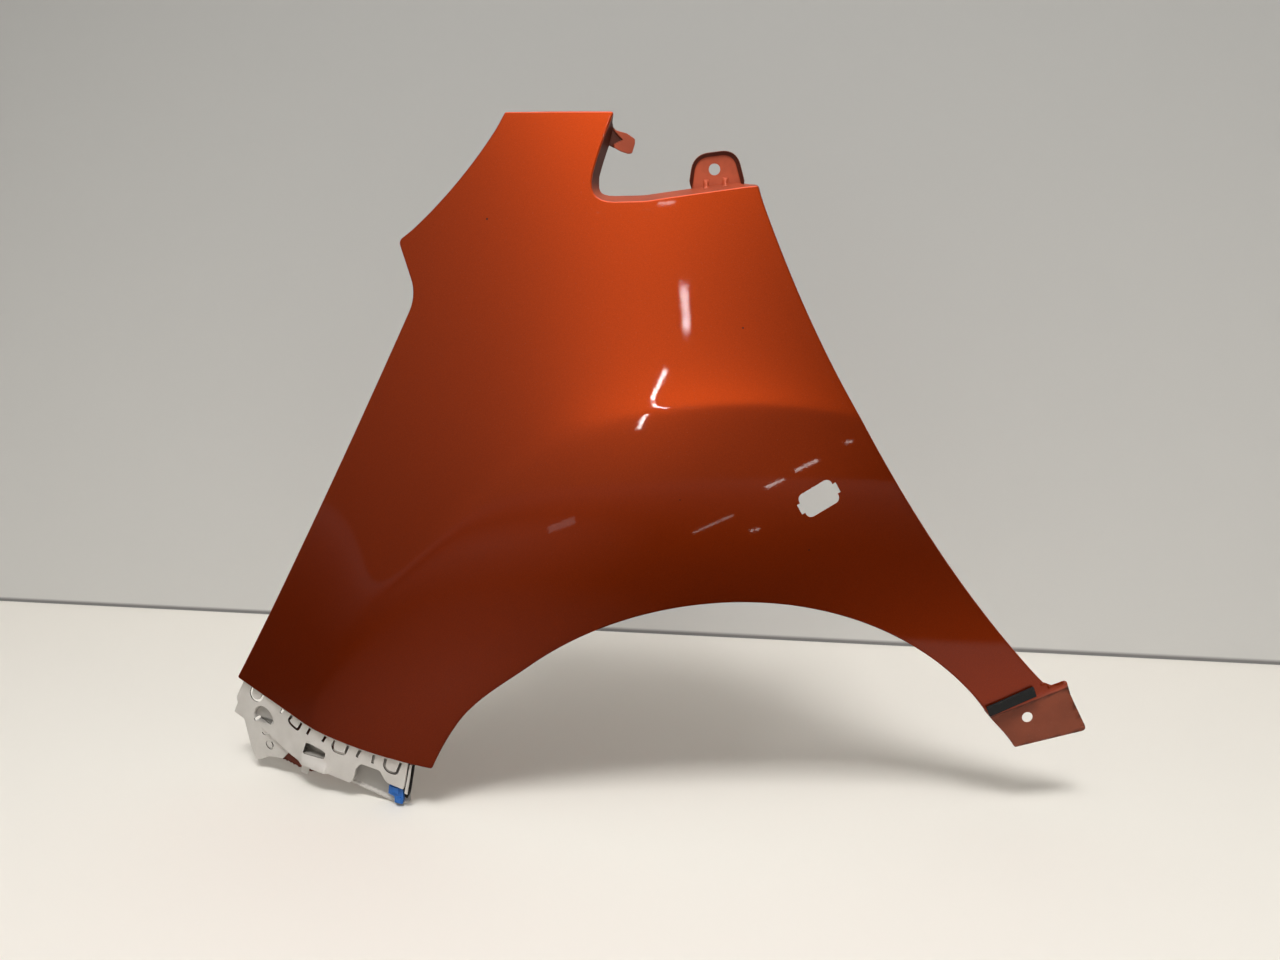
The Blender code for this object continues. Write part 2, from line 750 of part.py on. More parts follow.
def drop_rim(bm, *ends):
    """Leaves the rim off the edge between two points of the outline, which stands on the flange."""
    for face in list(bm.faces):
        at_ends = 0
        for vert in face.verts:
            at_ends += min(math.dist((vert.co.x, vert.co.z), end[:2]) for end in ends) < GAP
        if at_ends == 2 and len(face.verts) == 4:
            bmesh.ops.delete(bm, geom=[face], context="FACES")


def colour(obj, name, base, roughness, metallic):
    material = bpy.data.materials.new(name)
    material.use_nodes = True
    shader = material.node_tree.nodes["Principled BSDF"]
    shader.inputs["Base Color"].default_value = (*base, 1.0)
    shader.inputs["Roughness"].default_value = roughness
    shader.inputs["Metallic"].default_value = metallic
    obj.data.materials.clear()
    obj.data.materials.append(material)


def finger_tab():
    """The bent finger on the notch flange: a wide root, a step outwards and a narrow end."""
    fall = math.tan(math.radians(FINGER_TILT))
    edge = FINGER_ROOT[0]
    depth = float(skin_depth(edge, FINGER_ROOT[1])) + FINGER_SETBACK
    rows = []
    for reach, step, share in FINGER_STATIONS:
        along = reach * FINGER_REACH
        half = FINGER_WIDTH * share / 2.0
        middle = FINGER_ROOT[1] + along * fall
        x = edge + FINGER_ROOT_OFFSET + along
        y = depth - step * FINGER_STEP
        rows.append([(x, y, middle + half), (x, y, middle - half)])
    return lofted("finger_tab", rows, STEEL)


def hood_bolt_cutters():
    """Rods that cut the two bolt holes of the hood leaf."""
    path = bowed(HOOD_FRONT, SCREEN_FRONT, HOOD_BOW)
    lean = math.radians(HOOD_LEAN)
    leaf_lean = math.radians(HOOD_LEAF_LEAN)
    across = HOOD_BOLT_ACROSS * HOOD_LEAF
    out = HOOD_FLANGE * math.sin(lean) + across * math.sin(leaf_lean)
    depth = HOOD_FLANGE * math.cos(lean) + across * math.cos(leaf_lean)
    cutters = []
    for share in HOOD_BOLT_PLACES:
        x, z = path(share)
        run = path(share + SLOPE_STEP) - path(share - SLOPE_STEP)
        outward = np.array((-run[1], run[0])) / np.hypot(*run)
        centre = Vector((x + outward[0] * out, skin_depth(x, z) + depth, z + outward[1] * out))
        along = math.cos(leaf_lean)
        axis = Vector((outward[0] * along, -math.sin(leaf_lean), outward[1] * along))
        cutters.append(through_rod("hood_bolt_cutter", centre, axis, HOOD_BOLT))
    return cutters


def through_rod(name, middle, axis, diameter):
    """A cutter that passes through a sheet on both sides of a point."""
    start = middle - axis * OVERCUT
    return rod(name, start, axis, diameter, 2.0 * OVERCUT, ROUND_SIDES, CUTTERS)


def screw_axis(share):
    """Point on the bumper edge's flange where a screw passes, and its direction into the panel."""
    point, _, outward = bumper_frame(share)
    place = Vector((point[0], skin_depth(*point) + SCREW_INSET, point[1]))
    return place, Vector((-outward[0], 0.0, -outward[1]))


def screw_hole_cutters():
    return [through_rod("screw_hole_cutter", *screw_axis(s), SCREW_HOLE) for s in SCREW_PLACES]


def make_panel(screw_holes):
    outline = panel_outline(EDGE_STEP)
    holes = [lamp_hole(), circle(sill_point(TAB_HOLE_CENTRE), TAB_HOLE)]
    sheet = filled_sheet(outline, holes, CELL, skin_depth, unrolled, rolled)
    add_flanges(sheet, outline)
    panel = object_from(sheet, "fender_panel")
    thicken(panel, STEEL)
    combine(panel, upper_tab(), "UNION")
    combine(panel, finger_tab(), "UNION")
    for cutter in hood_bolt_cutters() + screw_holes:
        combine(panel, cutter, "DIFFERENCE")
    return panel


def wall_depth(x, z):
    """Outer face of the bracket's front wall. Its lower front wing is set further back."""
    notch, split = below_edge(WING_NOTCH), below_edge(WING_SPLIT)
    across = (x - notch[0]) * (split[1] - notch[1]) - (z - notch[1]) * (split[0] - notch[0])
    wing = ease(0.0, WING_REACH, -across / math.dist(notch, split))
    return open_skin_depth(x, z) + WALL_SETBACK + WING_SETBACK * wing


def at_edge(share, shape):
    """Points given as (along the bumper edge from a share of it, drop below it)."""
    point, along, outward = bumper_frame(share)
    return [tuple(point + along * a + outward * b) for a, b in shape]


def tongue_slot(share):
    """The U-shaped slot around one snap tongue."""
    half = TONGUE_WIDTH / 2.0
    inner = half - SLOT_WIDTH
    foot = SLOT_TOP + TONGUE_LENGTH
    shape = (
        (-half, SLOT_TOP),
        (-inner, SLOT_TOP),
        (-inner, foot - TONGUE_CORNER),
        (-inner + TONGUE_CORNER, foot - SLOT_WIDTH),
        (inner - TONGUE_CORNER, foot - SLOT_WIDTH),
        (inner, foot - TONGUE_CORNER),
        (inner, SLOT_TOP),
        (half, SLOT_TOP),
        (half, foot - TONGUE_CORNER),
        (half - TONGUE_CORNER, foot),
        (TONGUE_CORNER - half, foot),
        (-half, foot - TONGUE_CORNER),
    )
    return at_edge(share, shape)


def short_slot(share):
    half = SLOT_WIDTH / 2.0
    foot = SLOT_TOP + SLOT_LENGTH
    return at_edge(share, ((-half, SLOT_TOP), (half, SLOT_TOP), (half, foot), (-half, foot)))


def wall_outline():
    """Front wall of the bracket, counter-clockwise, with the top leaf as a flange."""
    leaf = (LEAF_DEPTH, 0.0)
    places = np.linspace(BRACKET_REAR, BRACKET_FRONT, BRACKET_TOP_POINTS)
    top = [(*below_edge((share, GAP)), leaf) for share in places]
    rest = (
        WING_TOP,
        WING_EAR_TOP,
        WING_EAR_FOOT,
        WING_STEP,
        WING_FRONT_FOOT,
        WING_REAR_FOOT,
        WING_NOTCH,
        WALL_MIDDLE_FOOT,
        RECESS_FRONT_FOOT,
        RECESS_FRONT_TOP,
        RECESS_REAR_TOP,
        RECESS_REAR_FOOT,
        WALL_REAR_FOOT,
    )
    return top + [(*below_edge(corner), None) for corner in rest]


def rear_wall_depth(x, z):
    return open_skin_depth(x, z) + REAR_WALL_SETBACK


def rear_wall():
    """The short wall behind the recess, which ends in the end wall."""
    places = np.linspace(END_WALL_PLACE, REAR_WALL_FRONT, REAR_WALL_TOP_POINTS)
    corners = [(share, GAP + REAR_WALL_SINK) for share in places]
    corners += [REAR_WALL_FRONT_FOOT, REAR_WALL_MIDDLE_FOOT, REAR_WALL_REAR_FOOT]
    outline = [below_edge(corner) for corner in corners]
    bm = filled_sheet(outline, [], WALL_CELL, rear_wall_depth)
    wall = object_from(bm, "rear_wall")
    thicken(wall, PLASTIC)
    return wall


def upright(name, share, foot, front, back, width):
    """A rib square to the bumper edge, from inside the top leaf down to a foot."""
    drops = np.linspace(GAP + UPRIGHT_SINK, foot, 2 + int(foot / UPRIGHT_STEP))
    rows = []
    for x, z in at_edge(share, [(width / 2.0, drop) for drop in drops]):
        depth = float(open_skin_depth(x, z))
        rows.append([(x, depth + front, z), (x, depth + back, z)])
    return lofted(name, rows, width)


def bracket_body():
    """Front wall, top leaf, rear wall, end wall and ribs, joined into one moulding."""
    outline = wall_outline()
    holes = [tongue_slot(share) for share in TONGUE_PLACES]
    holes += [short_slot(share) for share in SLOT_PLACES]
    holes.append(circle(below_edge(RING_CENTRE), RING_HOLE, RING_SIDES))
    eye_tilt = edge_tilt(EYE_CENTRE[0]) + EYE_TURN
    holes.append(rounded_box(below_edge(EYE_CENTRE), EYE_LENGTH, EYE_HEIGHT, EYE_CORNER, eye_tilt))
    sheet = filled_sheet(outline, holes, WALL_CELL, wall_depth)
    add_flanges(sheet, outline)
    body = object_from(sheet, "bumper_side_bracket")
    thicken(body, PLASTIC)
    front = WALL_SETBACK + PLASTIC / 2.0
    back = REAR_WALL_SETBACK + PLASTIC / 2.0
    leaf_back = WALL_SETBACK + LEAF_DEPTH - PLASTIC
    combine(body, rear_wall(), "UNION")
    combine(body, leaf_end(), "UNION")
    end_wall = upright("end_wall", END_WALL_PLACE, END_WALL_DROP, WALL_SETBACK, back, END_WALL)
    combine(body, end_wall, "UNION")
    side_wall = upright("side_wall", SIDE_WALL_PLACE, SIDE_WALL_DROP, front, back, PLASTIC)
    combine(body, side_wall, "UNION")
    for share in RIB_PLACES:
        rib = upright("rib", share, RIB_DROP, front, leaf_back, RIB_THICKNESS)
        combine(body, rib, "UNION")
    return body


def leaf_end():
    """Carries the top leaf past the front wall to the end wall."""
    top = GAP + LEAF_STEP
    foot = top + PLASTIC
    far = BRACKET_REAR + LEAF_OVERLAP
    corners = ((END_WALL_PLACE, top), (far, top), (far, foot), (END_WALL_PLACE, foot))
    outline = [below_edge(corner) for corner in corners]
    depth = tangent(outline[0], open_skin_depth)
    back = WALL_SETBACK + LEAF_DEPTH - PLASTIC / 2.0
    return plate("leaf_end", outline, WALL_SETBACK + PLASTIC / 2.0, back, depth)


def window_pocket(body):
    """The boxed window: a pocket behind the wall, open to the front."""
    centre, tilt = below_edge(WINDOW_CENTRE), edge_tilt(WINDOW_CENTRE[0])
    length, height = WINDOW_LENGTH + 2.0 * PLASTIC, WINDOW_HEIGHT + 2.0 * PLASTIC
    depth = tangent(centre, wall_depth)
    outer = rounded_box(centre, length, height, WINDOW_CORNER + PLASTIC, tilt)
    inner = rounded_box(centre, WINDOW_LENGTH, WINDOW_HEIGHT, WINDOW_CORNER, tilt)
    back = PLASTIC + POCKET_DEPTH
    combine(body, plate("pocket", outer, PLASTIC / 2.0, back, depth), "UNION")
    combine(body, plate("window_cutter", inner, -OVERCUT, POCKET_DEPTH, depth, CUTTERS), "DIFFERENCE")


def clip_hole_cutter():
    centre = below_edge(CLIP_CENTRE)
    outline = circle(centre, CLIP_PIN + 2.0 * GAP)
    depth = tangent(centre, rear_wall_depth)
    return plate("clip_hole_cutter", outline, -OVERCUT, PLASTIC + OVERCUT, depth, CUTTERS)


def make_bracket(screw_holes):
    body = bracket_body()
    window_pocket(body)
    for cutter in (*screw_holes, clip_hole_cutter()):
        combine(body, cutter, "DIFFERENCE")
    return body


def make_strap(screw_hole):
    """Steel strap that lies on the bumper flange and hangs down behind the bracket."""
    rows = ([], [], [])
    for share in np.linspace(STRAP_REAR, STRAP_FRONT, STRAP_POINTS):
        part = (share - STRAP_REAR) / (STRAP_FRONT - STRAP_REAR)
        drop = STRAP_REAR_DROP + part * (STRAP_FRONT_DROP - STRAP_REAR_DROP)
        depth = float(open_skin_depth(*bumper_point(share))) + STRAP_SETBACK
        top_x, top_z = below_edge((share, -(STEEL + GAP)))
        foot_x, foot_z = below_edge((share, drop))
        rows[0].append((top_x, depth - STRAP_LEAF, top_z))
        rows[1].append((top_x, depth, top_z))
        rows[2].append((foot_x, depth, foot_z))
    strap = lofted("steel_strap", rows, STRAP_STEEL)
    combine(strap, screw_hole, "DIFFERENCE")
    return strap


def make_screw(name, share):
    """Hex screw with a pressed flange, from below the bracket's leaf up through the panel."""
    place, axis = screw_axis(share)
    seat = place - axis * (2.0 * GAP + PLASTIC)
    screw = rod(name, seat, -axis, SCREW_FLANGE, SCREW_FLANGE_THICKNESS)
    overlap = SCREW_FLANGE_THICKNESS / 2.0
    inner = seat - axis * overlap
    head = rod("head", inner, -axis, SCREW_HEAD, SCREW_HEAD_HEIGHT, HEAD_SIDES)
    shank = rod("shank", inner, axis, SCREW_SHANK, SCREW_LENGTH + overlap, ROUND_SIDES)
    combine(screw, head, "UNION")
    combine(screw, shank, "UNION")
    return screw


def make_clip_nut():
    """Spring steel nut folded over the foot of the end wall."""
    inner = END_WALL / 2.0 + GAP
    outer = inner + NUT_STEEL
    foot = END_WALL_DROP + GAP
    shape = (
        (outer, NUT_TOP),
        (inner, NUT_TOP),
        (inner, foot),
        (-inner, foot),
        (-inner, NUT_TOP),
        (-outer, NUT_TOP),
        (-outer, foot + NUT_STEEL),
        (outer, foot + NUT_STEEL),
    )
    outline = at_edge(END_WALL_PLACE, shape)
    depth = tangent(tuple(bumper_point(END_WALL_PLACE)), open_skin_depth)
    low = WALL_SETBACK + PLASTIC + 2.0 * GAP
    return plate("clip_nut", outline[::-1], low, low + NUT_WIDTH, depth)


def make_blue_clip():
    """Push-in clip on the front of the rear wall: a block, a collar and a pin."""
    centre, tilt = below_edge(CLIP_CENTRE), edge_tilt(CLIP_CENTRE[0])
    depth = tangent(centre, rear_wall_depth)
    block = rounded_box(centre, CLIP_LENGTH, CLIP_HEIGHT, CLIP_CORNER, tilt)
    seat = -GAP
    middle = seat - CLIP_THICKNESS / 2.0
    front = seat - CLIP_THICKNESS - CLIP_LIP
    clip = plate("blue_clip", block, seat - CLIP_THICKNESS, seat, depth)
    combine(clip, plate("collar", circle(centre, CLIP_COLLAR), front, middle, depth), "UNION")
    pin = plate("pin", circle(centre, CLIP_PIN), middle, PLASTIC + CLIP_LIP, depth)
    combine(clip, pin, "UNION")
    return clip


def make_foam():
    """Foam strip stuck on the skin just above the fold of the sill tab."""
    start, end = sill_point(TAB_FOLD_START), sill_point(TAB_FOLD_END)
    run = end - start
    up = np.array((-run[1], run[0])) / np.hypot(*run)
    middle = (start + end) / 2.0 + up * (FOAM_WIDTH / 2.0)
    tilt = math.degrees(math.atan2(run[1], run[0]))
    outline = rounded_box(middle, FOAM_LENGTH, FOAM_WIDTH, FOAM_CORNER, tilt)
    face = -(GAP + FOAM_THICKNESS)
    bm = filled_sheet(outline, [], FOAM_CELL, lambda x, z: open_skin_depth(x, z) + face)
    foam = object_from(bm, "foam_strip")
    thicken(foam, FOAM_THICKNESS)
    return foam


def stand_on_origin():
    """Moves every piece and cutter so that the bottom centre of the part's box is the origin."""
    parts = bpy.data.collections[PARTS].objects
    corners = np.array([v.co for obj in parts for v in obj.data.vertices])
    low, high = corners.min(axis=0), corners.max(axis=0)
    shift = Vector((-(low[0] + high[0]) / 2.0, -(low[1] + high[1]) / 2.0, -low[2]))
    for collection in (PARTS, CUTTERS):
        for obj in bpy.data.collections[collection].objects:
            obj.data.transform(Matrix.Translation(shift))
    return shift


def main():
    clear_scene()
    screw_holes = screw_hole_cutters()
    panel = make_panel(screw_holes)
    bracket = make_bracket(screw_holes)
    strap = make_strap(screw_holes[0])
    screws = [make_screw("bracket_screw_front", SCREW_PLACES[0])]
    screws.append(make_screw("bracket_screw_rear", SCREW_PLACES[1]))
    nut = make_clip_nut()
    clip = make_blue_clip()
    foam = make_foam()
    colour(panel, "orange_paint", (0.58, 0.075, 0.012), 0.30, 0.55)
    colour(strap, "primer_paint", (0.22, 0.045, 0.020), 0.45, 0.10)
    colour(bracket, "grey_plastic", (0.52, 0.50, 0.46), 0.55, 0.0)
    for screw in screws:
        colour(screw, "zinc_steel", (0.45, 0.45, 0.44), 0.35, 0.9)
    colour(nut, "dark_steel", (0.05, 0.045, 0.04), 0.45, 0.8)
    colour(clip, "blue_plastic", (0.03, 0.13, 0.42), 0.40, 0.0)
    colour(foam, "black_foam", (0.012, 0.012, 0.012), 0.90, 0.0)
    stand_on_origin()
    for obj in bpy.data.collections[PARTS].objects:
        obj.data.shade_smooth()
        obj.data.set_sharp_from_angle(angle=math.radians(SHARP_ANGLE))


main()
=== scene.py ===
"""Looks of the car fender: painted skin, tabs, bracket, clips, light and camera.

Shapes are laid out around the wheel centre, as in the part's source: x rearwards, y inboard and z up.
"""

import math

import bmesh
import bpy
import numpy as np
from mathutils import Matrix, Vector
from mathutils.geometry import delaunay_2d_cdt


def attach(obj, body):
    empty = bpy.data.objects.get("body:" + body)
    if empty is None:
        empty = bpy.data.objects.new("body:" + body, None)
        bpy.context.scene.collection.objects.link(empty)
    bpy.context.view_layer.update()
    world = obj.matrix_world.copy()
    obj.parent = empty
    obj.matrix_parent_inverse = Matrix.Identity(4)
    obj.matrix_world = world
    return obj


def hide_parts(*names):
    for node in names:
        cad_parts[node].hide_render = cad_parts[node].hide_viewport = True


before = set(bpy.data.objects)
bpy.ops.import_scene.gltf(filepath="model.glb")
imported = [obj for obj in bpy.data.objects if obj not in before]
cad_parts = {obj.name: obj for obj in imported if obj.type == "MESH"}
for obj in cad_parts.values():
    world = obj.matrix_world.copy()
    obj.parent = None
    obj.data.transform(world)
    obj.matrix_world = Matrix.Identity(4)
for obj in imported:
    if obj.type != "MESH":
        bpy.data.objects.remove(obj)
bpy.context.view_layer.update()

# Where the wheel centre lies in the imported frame
WHEEL_CENTRE = Vector((0.102415, -0.097868, -0.087039))

# Camera, from the wheel centre
CAMERA_PLACE = Vector((-0.0980, -0.9173, 0.6319))
CAMERA_PITCH = 10.0
CAMERA_LENS = 27.06
CAMERA_SENSOR = 36.0

# Sheet and mesh
STEEL = 0.0008
CELL = 0.005
EDGE_STEP = 0.004
PATH_SAMPLES = 129
PATH_STEP = 0.001
FILLET_STEPS = 7
TOP_EDGE_STEPS = 40
GRID_CLEARANCE = 0.45
MERGE_DISTANCE = 1e-7
SHORTEST = 1e-12
EDGE_ROUNDS = 3
SOFTENED_SHARE = 0.45
WELD = 2e-6
INSIDE_LOOPS = 1
SLOPE_STEP = 0.0002
BEND_STEPS = 4
LONGEST_BEND = 0.8
CREASE_ROWS = (-0.0060, -0.0040, -0.0025, -0.0012, 0.0, 0.0012, 0.0025, 0.0040, 0.0060)

# Wheel arch and the crest of its flare
ARCH_RADIUS = 0.3435
ARCH_FRONT_EXTRA = 0.0100
ARCH_REAR_EXTRA = 0.0065
ARCH_REAR_ANGLE = 28.0
ARCH_FRONT_ANGLE = 156.1
ARCH_REAR_EASE = (28.0, 36.0)
ARCH_FRONT_EASE = (128.0, 146.0)
CREST_RADIUS = 0.541
CREST_FRONT_DROP = 0.041
CREST_DROP_START = 106.0
CREST_DROP_END = 136.0
CREASE_SOFT_REAR = 0.004
CREASE_SOFT_FRONT = 0.016
CREASE_SOFT_EASE = (92.0, 140.0)

# Skin surface
CROWN_LINE = -0.044
FRONT_ROLL_RADIUS = 0.850
FRONT_ROLL_SLOPE = 0.90
REAR_ROLL_RADIUS = 1.000
REAR_ROLL_SLOPE = 0.28
LEAN_START = 0.330
LEAN_RADIUS = 1.650
LEAN_SLOPE = 0.60
FLARE_DEPTH = 0.024
FLARE_REACH = 0.060
CROWN_RADIUS = 1.670
CROWN_TOP = 0.520

# Corners of the skin
LOW_FRONT = (-0.578, 0.201)
HEADLIGHT_TOP = (-0.3305, 0.6475)
HOOD_FRONT = (-0.3510, 0.7035)
SCREEN_FRONT = (-0.2360, 0.8320)
SCREEN_REAR = (-0.1235, 0.8290)
NOTCH_CORNER = (-0.1520, 0.7380)
LEDGE_KNEE = (-0.0930, 0.7388)
DOOR_TOP = (0.0195, 0.7546)

# Corners of the sill tab, from the arch's rear foot
DOOR_FOOT = (0.0225, 0.0772)
EAR_START = (0.0330, 0.0727)
EAR_TOP = (0.0500, 0.0777)
EAR_END = (0.0560, 0.0607)
TAB_REAR = (0.0770, 0.0202)

# How far each edge bows outwards
HEADLIGHT_BOW = -0.0075
HOOD_BOW = -0.0080
NOTCH_BOW = -0.0030
DOOR_BOW = -0.0335
BUMPER_BOW = 0.0110
PANEL_BOW = 0.0085

# Fillet radii at the corners
SHARP = 0.003
HEADLIGHT_FILLET = 0.045
HOOD_FILLET = 0.008
NOTCH_FILLET = 0.024
KNEE_FILLET = 0.080
EAR_FILLET = 0.005
TAB_FILLET = 0.005

# Flanges: width, and lean outwards in degrees
NO_FLANGE = (0.0, 0.0)
FLANGE_TAPER = 0.022
CORNER_FLANGE = 0.005
ARCH_LIP = 0.018
HEADLIGHT_FLANGE = 0.015
HEADLIGHT_LEAN = -6.0
HOOD_FLANGE = 0.020
HOOD_LEAN = -38.0
HOOD_LEAF = 0.026
HOOD_LEAF_LEAN = 12.0
SCREEN_FLANGE = 0.012
NOTCH_FLANGE = 0.016
NOTCH_LEAN = 24.0
LEDGE_LEAN = 27.0
DOOR_FLANGE = 0.012
DOOR_LEAN = -8.0
DOOR_TOP_LEAN = 12.0
BUMPER_FLANGE = 0.020
SKIN_BEND = 0.0022
LEAF_BEND = 0.0025

# Bolt holes in the hood leaf
HOOD_BOLT = 0.009
HOOD_BOLT_PLACES = (0.32, 0.68)
HOOD_BOLT_ACROSS = 0.55
LEAF_CORNER = 0.009

# Side lamp hole
LAMP_CENTRE = (0.0782, 0.4494)
LAMP_LENGTH = 0.037
LAMP_HEIGHT = 0.026
LAMP_CORNER = 0.006
LAMP_TILT = 30.0
LAMP_EAR_LENGTH = 0.0035
LAMP_EAR_HEIGHT = 0.011

# Sill tab
TAB_FOLD_START = (-0.0355, 0.0412)
TAB_FOLD_END = (0.0170, 0.0622)
TAB_STEP = 0.0095
TAB_FOLD_REACH = 0.010
TAB_HOLE = 0.0115
TAB_HOLE_CENTRE = (0.0115, 0.0347)

# Upper tab
UPPER_TAB_RISE = -0.0004
UPPER_TAB_HEIGHT = 0.0370
UPPER_TAB_FRONT = -0.0455
UPPER_TAB_REAR = 0.0055
UPPER_TAB_SHOULDER = 0.0105
UPPER_TAB_SLANT = 0.0045
UPPER_TAB_FILLET = 0.012
UPPER_TAB_SETBACK = 0.0150
UPPER_TAB_RIM = 0.0056
UPPER_TAB_RIM_LEAN = 45.0
UPPER_TAB_RIM_RISE = (0.001, 0.011)
UPPER_TAB_BEND = 0.0025
UPPER_TAB_CELL = 0.003
UPPER_TAB_SIDE_STEPS = 8
UPPER_TAB_FILLET_STEPS = 10
UPPER_TAB_HOLE = 0.0115
UPPER_TAB_HOLE_PLACE = (-0.0032, 0.0227)

# How thin and dull the paint is, from 0 on the skin to 1 on inner faces: flanges, the sill tab, and
# the dark brown painted as shade on the folds of the tabs and the notch's upright side, with where that
# side lies
FLANGE_BARE = 0.6
TAB_BARE = 0.9
SHADE_PAINTED_FOLD = 0.75
BARE_ROUND_BEND = (0.4, 1.0)
UPRIGHT_RISE = (0.742, 0.765)
UPRIGHT_SPAN = (-0.2, -0.1)

# Finger tab: its outline from the flange round to the flange, and the bead in its neck, where the neck is
# painted dark as shade
FINGER_LINE = (
    (-0.1400, 0.7880), (-0.1385, 0.7908), (-0.1350, 0.7961), (-0.1308, 0.7981),
    (-0.1260, 0.7955), (-0.1180, 0.7912), (-0.1100, 0.7885), (-0.1060, 0.7893),
    (-0.1030, 0.7990), (-0.1031, 0.8032), (-0.1114, 0.8087), (-0.1197, 0.8107),
    (-0.1225, 0.8117), (-0.1252, 0.8153), (-0.1256, 0.8190), (-0.1310, 0.8200),
)
FINGER_ROOT = (-0.1360, 0.8020)
FINGER_SETBACK = 0.0135
FINGER_RIM = 0.0016
FINGER_STEP = 0.0030
FINGER_STEP_REACH = 0.0016
FINGER_BEAD = (-0.1165, 0.8025)
FINGER_BEAD_OPENING = 1.33
FINGER_FALL = 0.27
FINGER_NECK = -0.1252
FINGER_CORNER = 0.0014
FINGER_BEND = 0.0008
FINGER_CELL = 0.0012
FINGER_EDGE_STEP = 0.0015
# How much less painted shade the flat end of the finger has than its neck
FINGER_END_LESS_SHADE = 0.17

# Beads in the corner between the upper tab and the ledge flange
BEADS = (-0.0314, -0.0122)
BEAD_WIDTH = 0.0062
BEAD_REACH = 0.0068
BEAD_ROUNDNESS = 1.5
BEAD_STEPS = 11

# Foam strip
FOAM_LENGTH = 0.055
FOAM_WIDTH = 0.0120
FOAM_THICKNESS = 0.0030
FOAM_SIDE = 0.0025
FOAM_SHELL = 0.0006
FOAM_BEND = 0.0012
FOAM_CELL = 0.0015
GAP = 0.0003

# Bracket: everything is placed by (share of the bumper edge, drop below it)
PLASTIC = 0.0011
PLASTIC_BEND = 0.0012
BRACKET_CELL = 0.0013
BRACKET_STEP = 0.002
BRACKET_TOP_STEPS = 130
BRACKET_TOP = 0.0012
BRACKET_TOP_BOW = 0.0025
BRACKET_TOP_CLEARANCE = 0.0004
BRACKET_ENDS = (0.1065, 0.9690)
WALL_SETBACK = 0.0050
LEAF_DEPTH = 0.0170
EDGE_FOLD = 0.0025
RECESS_FOLD = 0.0060
RECESS_SHARES = (0.2, 0.345)
RECESS_DROP = 0.04
CORNER_SOFTNESS = 0.0018
WALL_FRONT_END = ((0.9715, 0.0048), (0.9826, 0.0265), (0.9812, 0.0295), (0.970, 0.0345), (0.974, 0.0490))
WALL_FOOT = (
    (0.916, 0.0482), (0.852, 0.0750), (0.812, 0.0875), (0.795, 0.0866),
    (0.753, 0.0745), (0.688, 0.0650), (0.658, 0.0487), (0.585, 0.0489),
    (0.477, 0.0458), (0.356, 0.0456), (0.340, 0.0390),
)
WALL_RECESS = ((0.336, 0.0260), (0.315, 0.0180), (0.230, 0.0189), (0.206, 0.0285))
WALL_REAR_FOOT = ((0.196, 0.0312), (0.123, 0.0345))
WALL_REAR_END = ((0.118, 0.0300), (0.108, 0.0044))
WING_SETBACK = 0.0050
WING_LINE = ((0.768, 0.0447), (0.671, 0.0477))
WING_STEP = 0.0006
WING_START = (0.640, 0.664)
WING_FADE = (0.765, 0.830)
LEDGE_PROUD = 0.0040
LEDGE_DROPS = (0.031, 0.044)
LEDGE_SHARES = (0.455, 0.480, 0.580, 0.610)
DISH_CENTRE = (0.821, 0.0300)
DISH_RADII = (0.0145, 0.0150)
DISH_DEPTH = 0.0060
DISH_WALL = 0.30
# How dark the dish is painted, as shade in its hollow
DISH_PAINTED_SHADE = 0.9
DISH_SLOT_EDGE = 0.0004
DISH_SLOT = ((0.865, 0.0395), (0.846, 0.0345), (0.778, 0.0290))
SLOT_WIDTH = 0.0030
SLOT_TURN = 0.003
GROOVE_WIDTH = 0.0013
TONGUES = (
    ((0.917, 0.0026), (0.917, 0.0108), (0.902, 0.0150), (0.878, 0.0146), (0.861, 0.0110), (0.852, 0.0022)),
    ((0.679, 0.0013), (0.693, 0.0083), (0.685, 0.0117), (0.660, 0.0129), (0.636, 0.0131), (0.623, 0.0016)),
    ((0.445, 0.0012), (0.456, 0.0082), (0.448, 0.0135), (0.421, 0.0141), (0.394, 0.0130), (0.382, 0.0012)),
    ((0.206, 0.0020), (0.212, 0.0113), (0.198, 0.0162), (0.177, 0.0172), (0.156, 0.0170), (0.138, 0.0024)),
)
SHORT_SLOTS = (
    ((0.733, 0.0013), (0.742, 0.0083)),
    ((0.575, 0.0013), (0.585, 0.0105)),
    ((0.493, 0.0011), (0.505, 0.0090)),
    ((0.325, 0.0011), (0.338, 0.0109)),
    ((0.260, 0.0017), (0.265, 0.0121)),
)
SMALL_GROOVE = ((0.812, 0.0482), (0.801, 0.0508), (0.784, 0.0470))
RING_PLACE = (0.765, 0.0595)
RING_RADIUS = 0.0050
RING_GROOVE = 0.0019
RING_SPAN = (-55.0, 235.0)
RING_STEPS = 25
WINDOW = ((0.582, 0.0200), (0.590, 0.0355), (0.485, 0.0297), (0.4815, 0.0212), (0.505, 0.0196))
POCKET_MARGIN = 0.0016
POCKET_DEPTH = 0.0140
POCKET_CELL = 0.002
# How much darker the pocket's walls are painted, as shade
POCKET_PAINTED_SHADE = 0.5
WINDOW_CORNER = 0.003
REAR_WALL_SETBACK = 0.0200
REAR_WALL_TOP = 0.0030
REAR_WALL_ENDS = (0.1036, 0.4099)
REAR_WALL_FOOT = ((0.4099, 0.0430), (0.3738, 0.0520), (0.252, 0.0556), (0.166, 0.0600), (0.1036, 0.0560))
REAR_BAND = ((0.341, 0.0479), (0.193, 0.0528))
REAR_BAND_PROUD = 0.0018
REAR_BAND_STEP = (0.0, 0.0016)
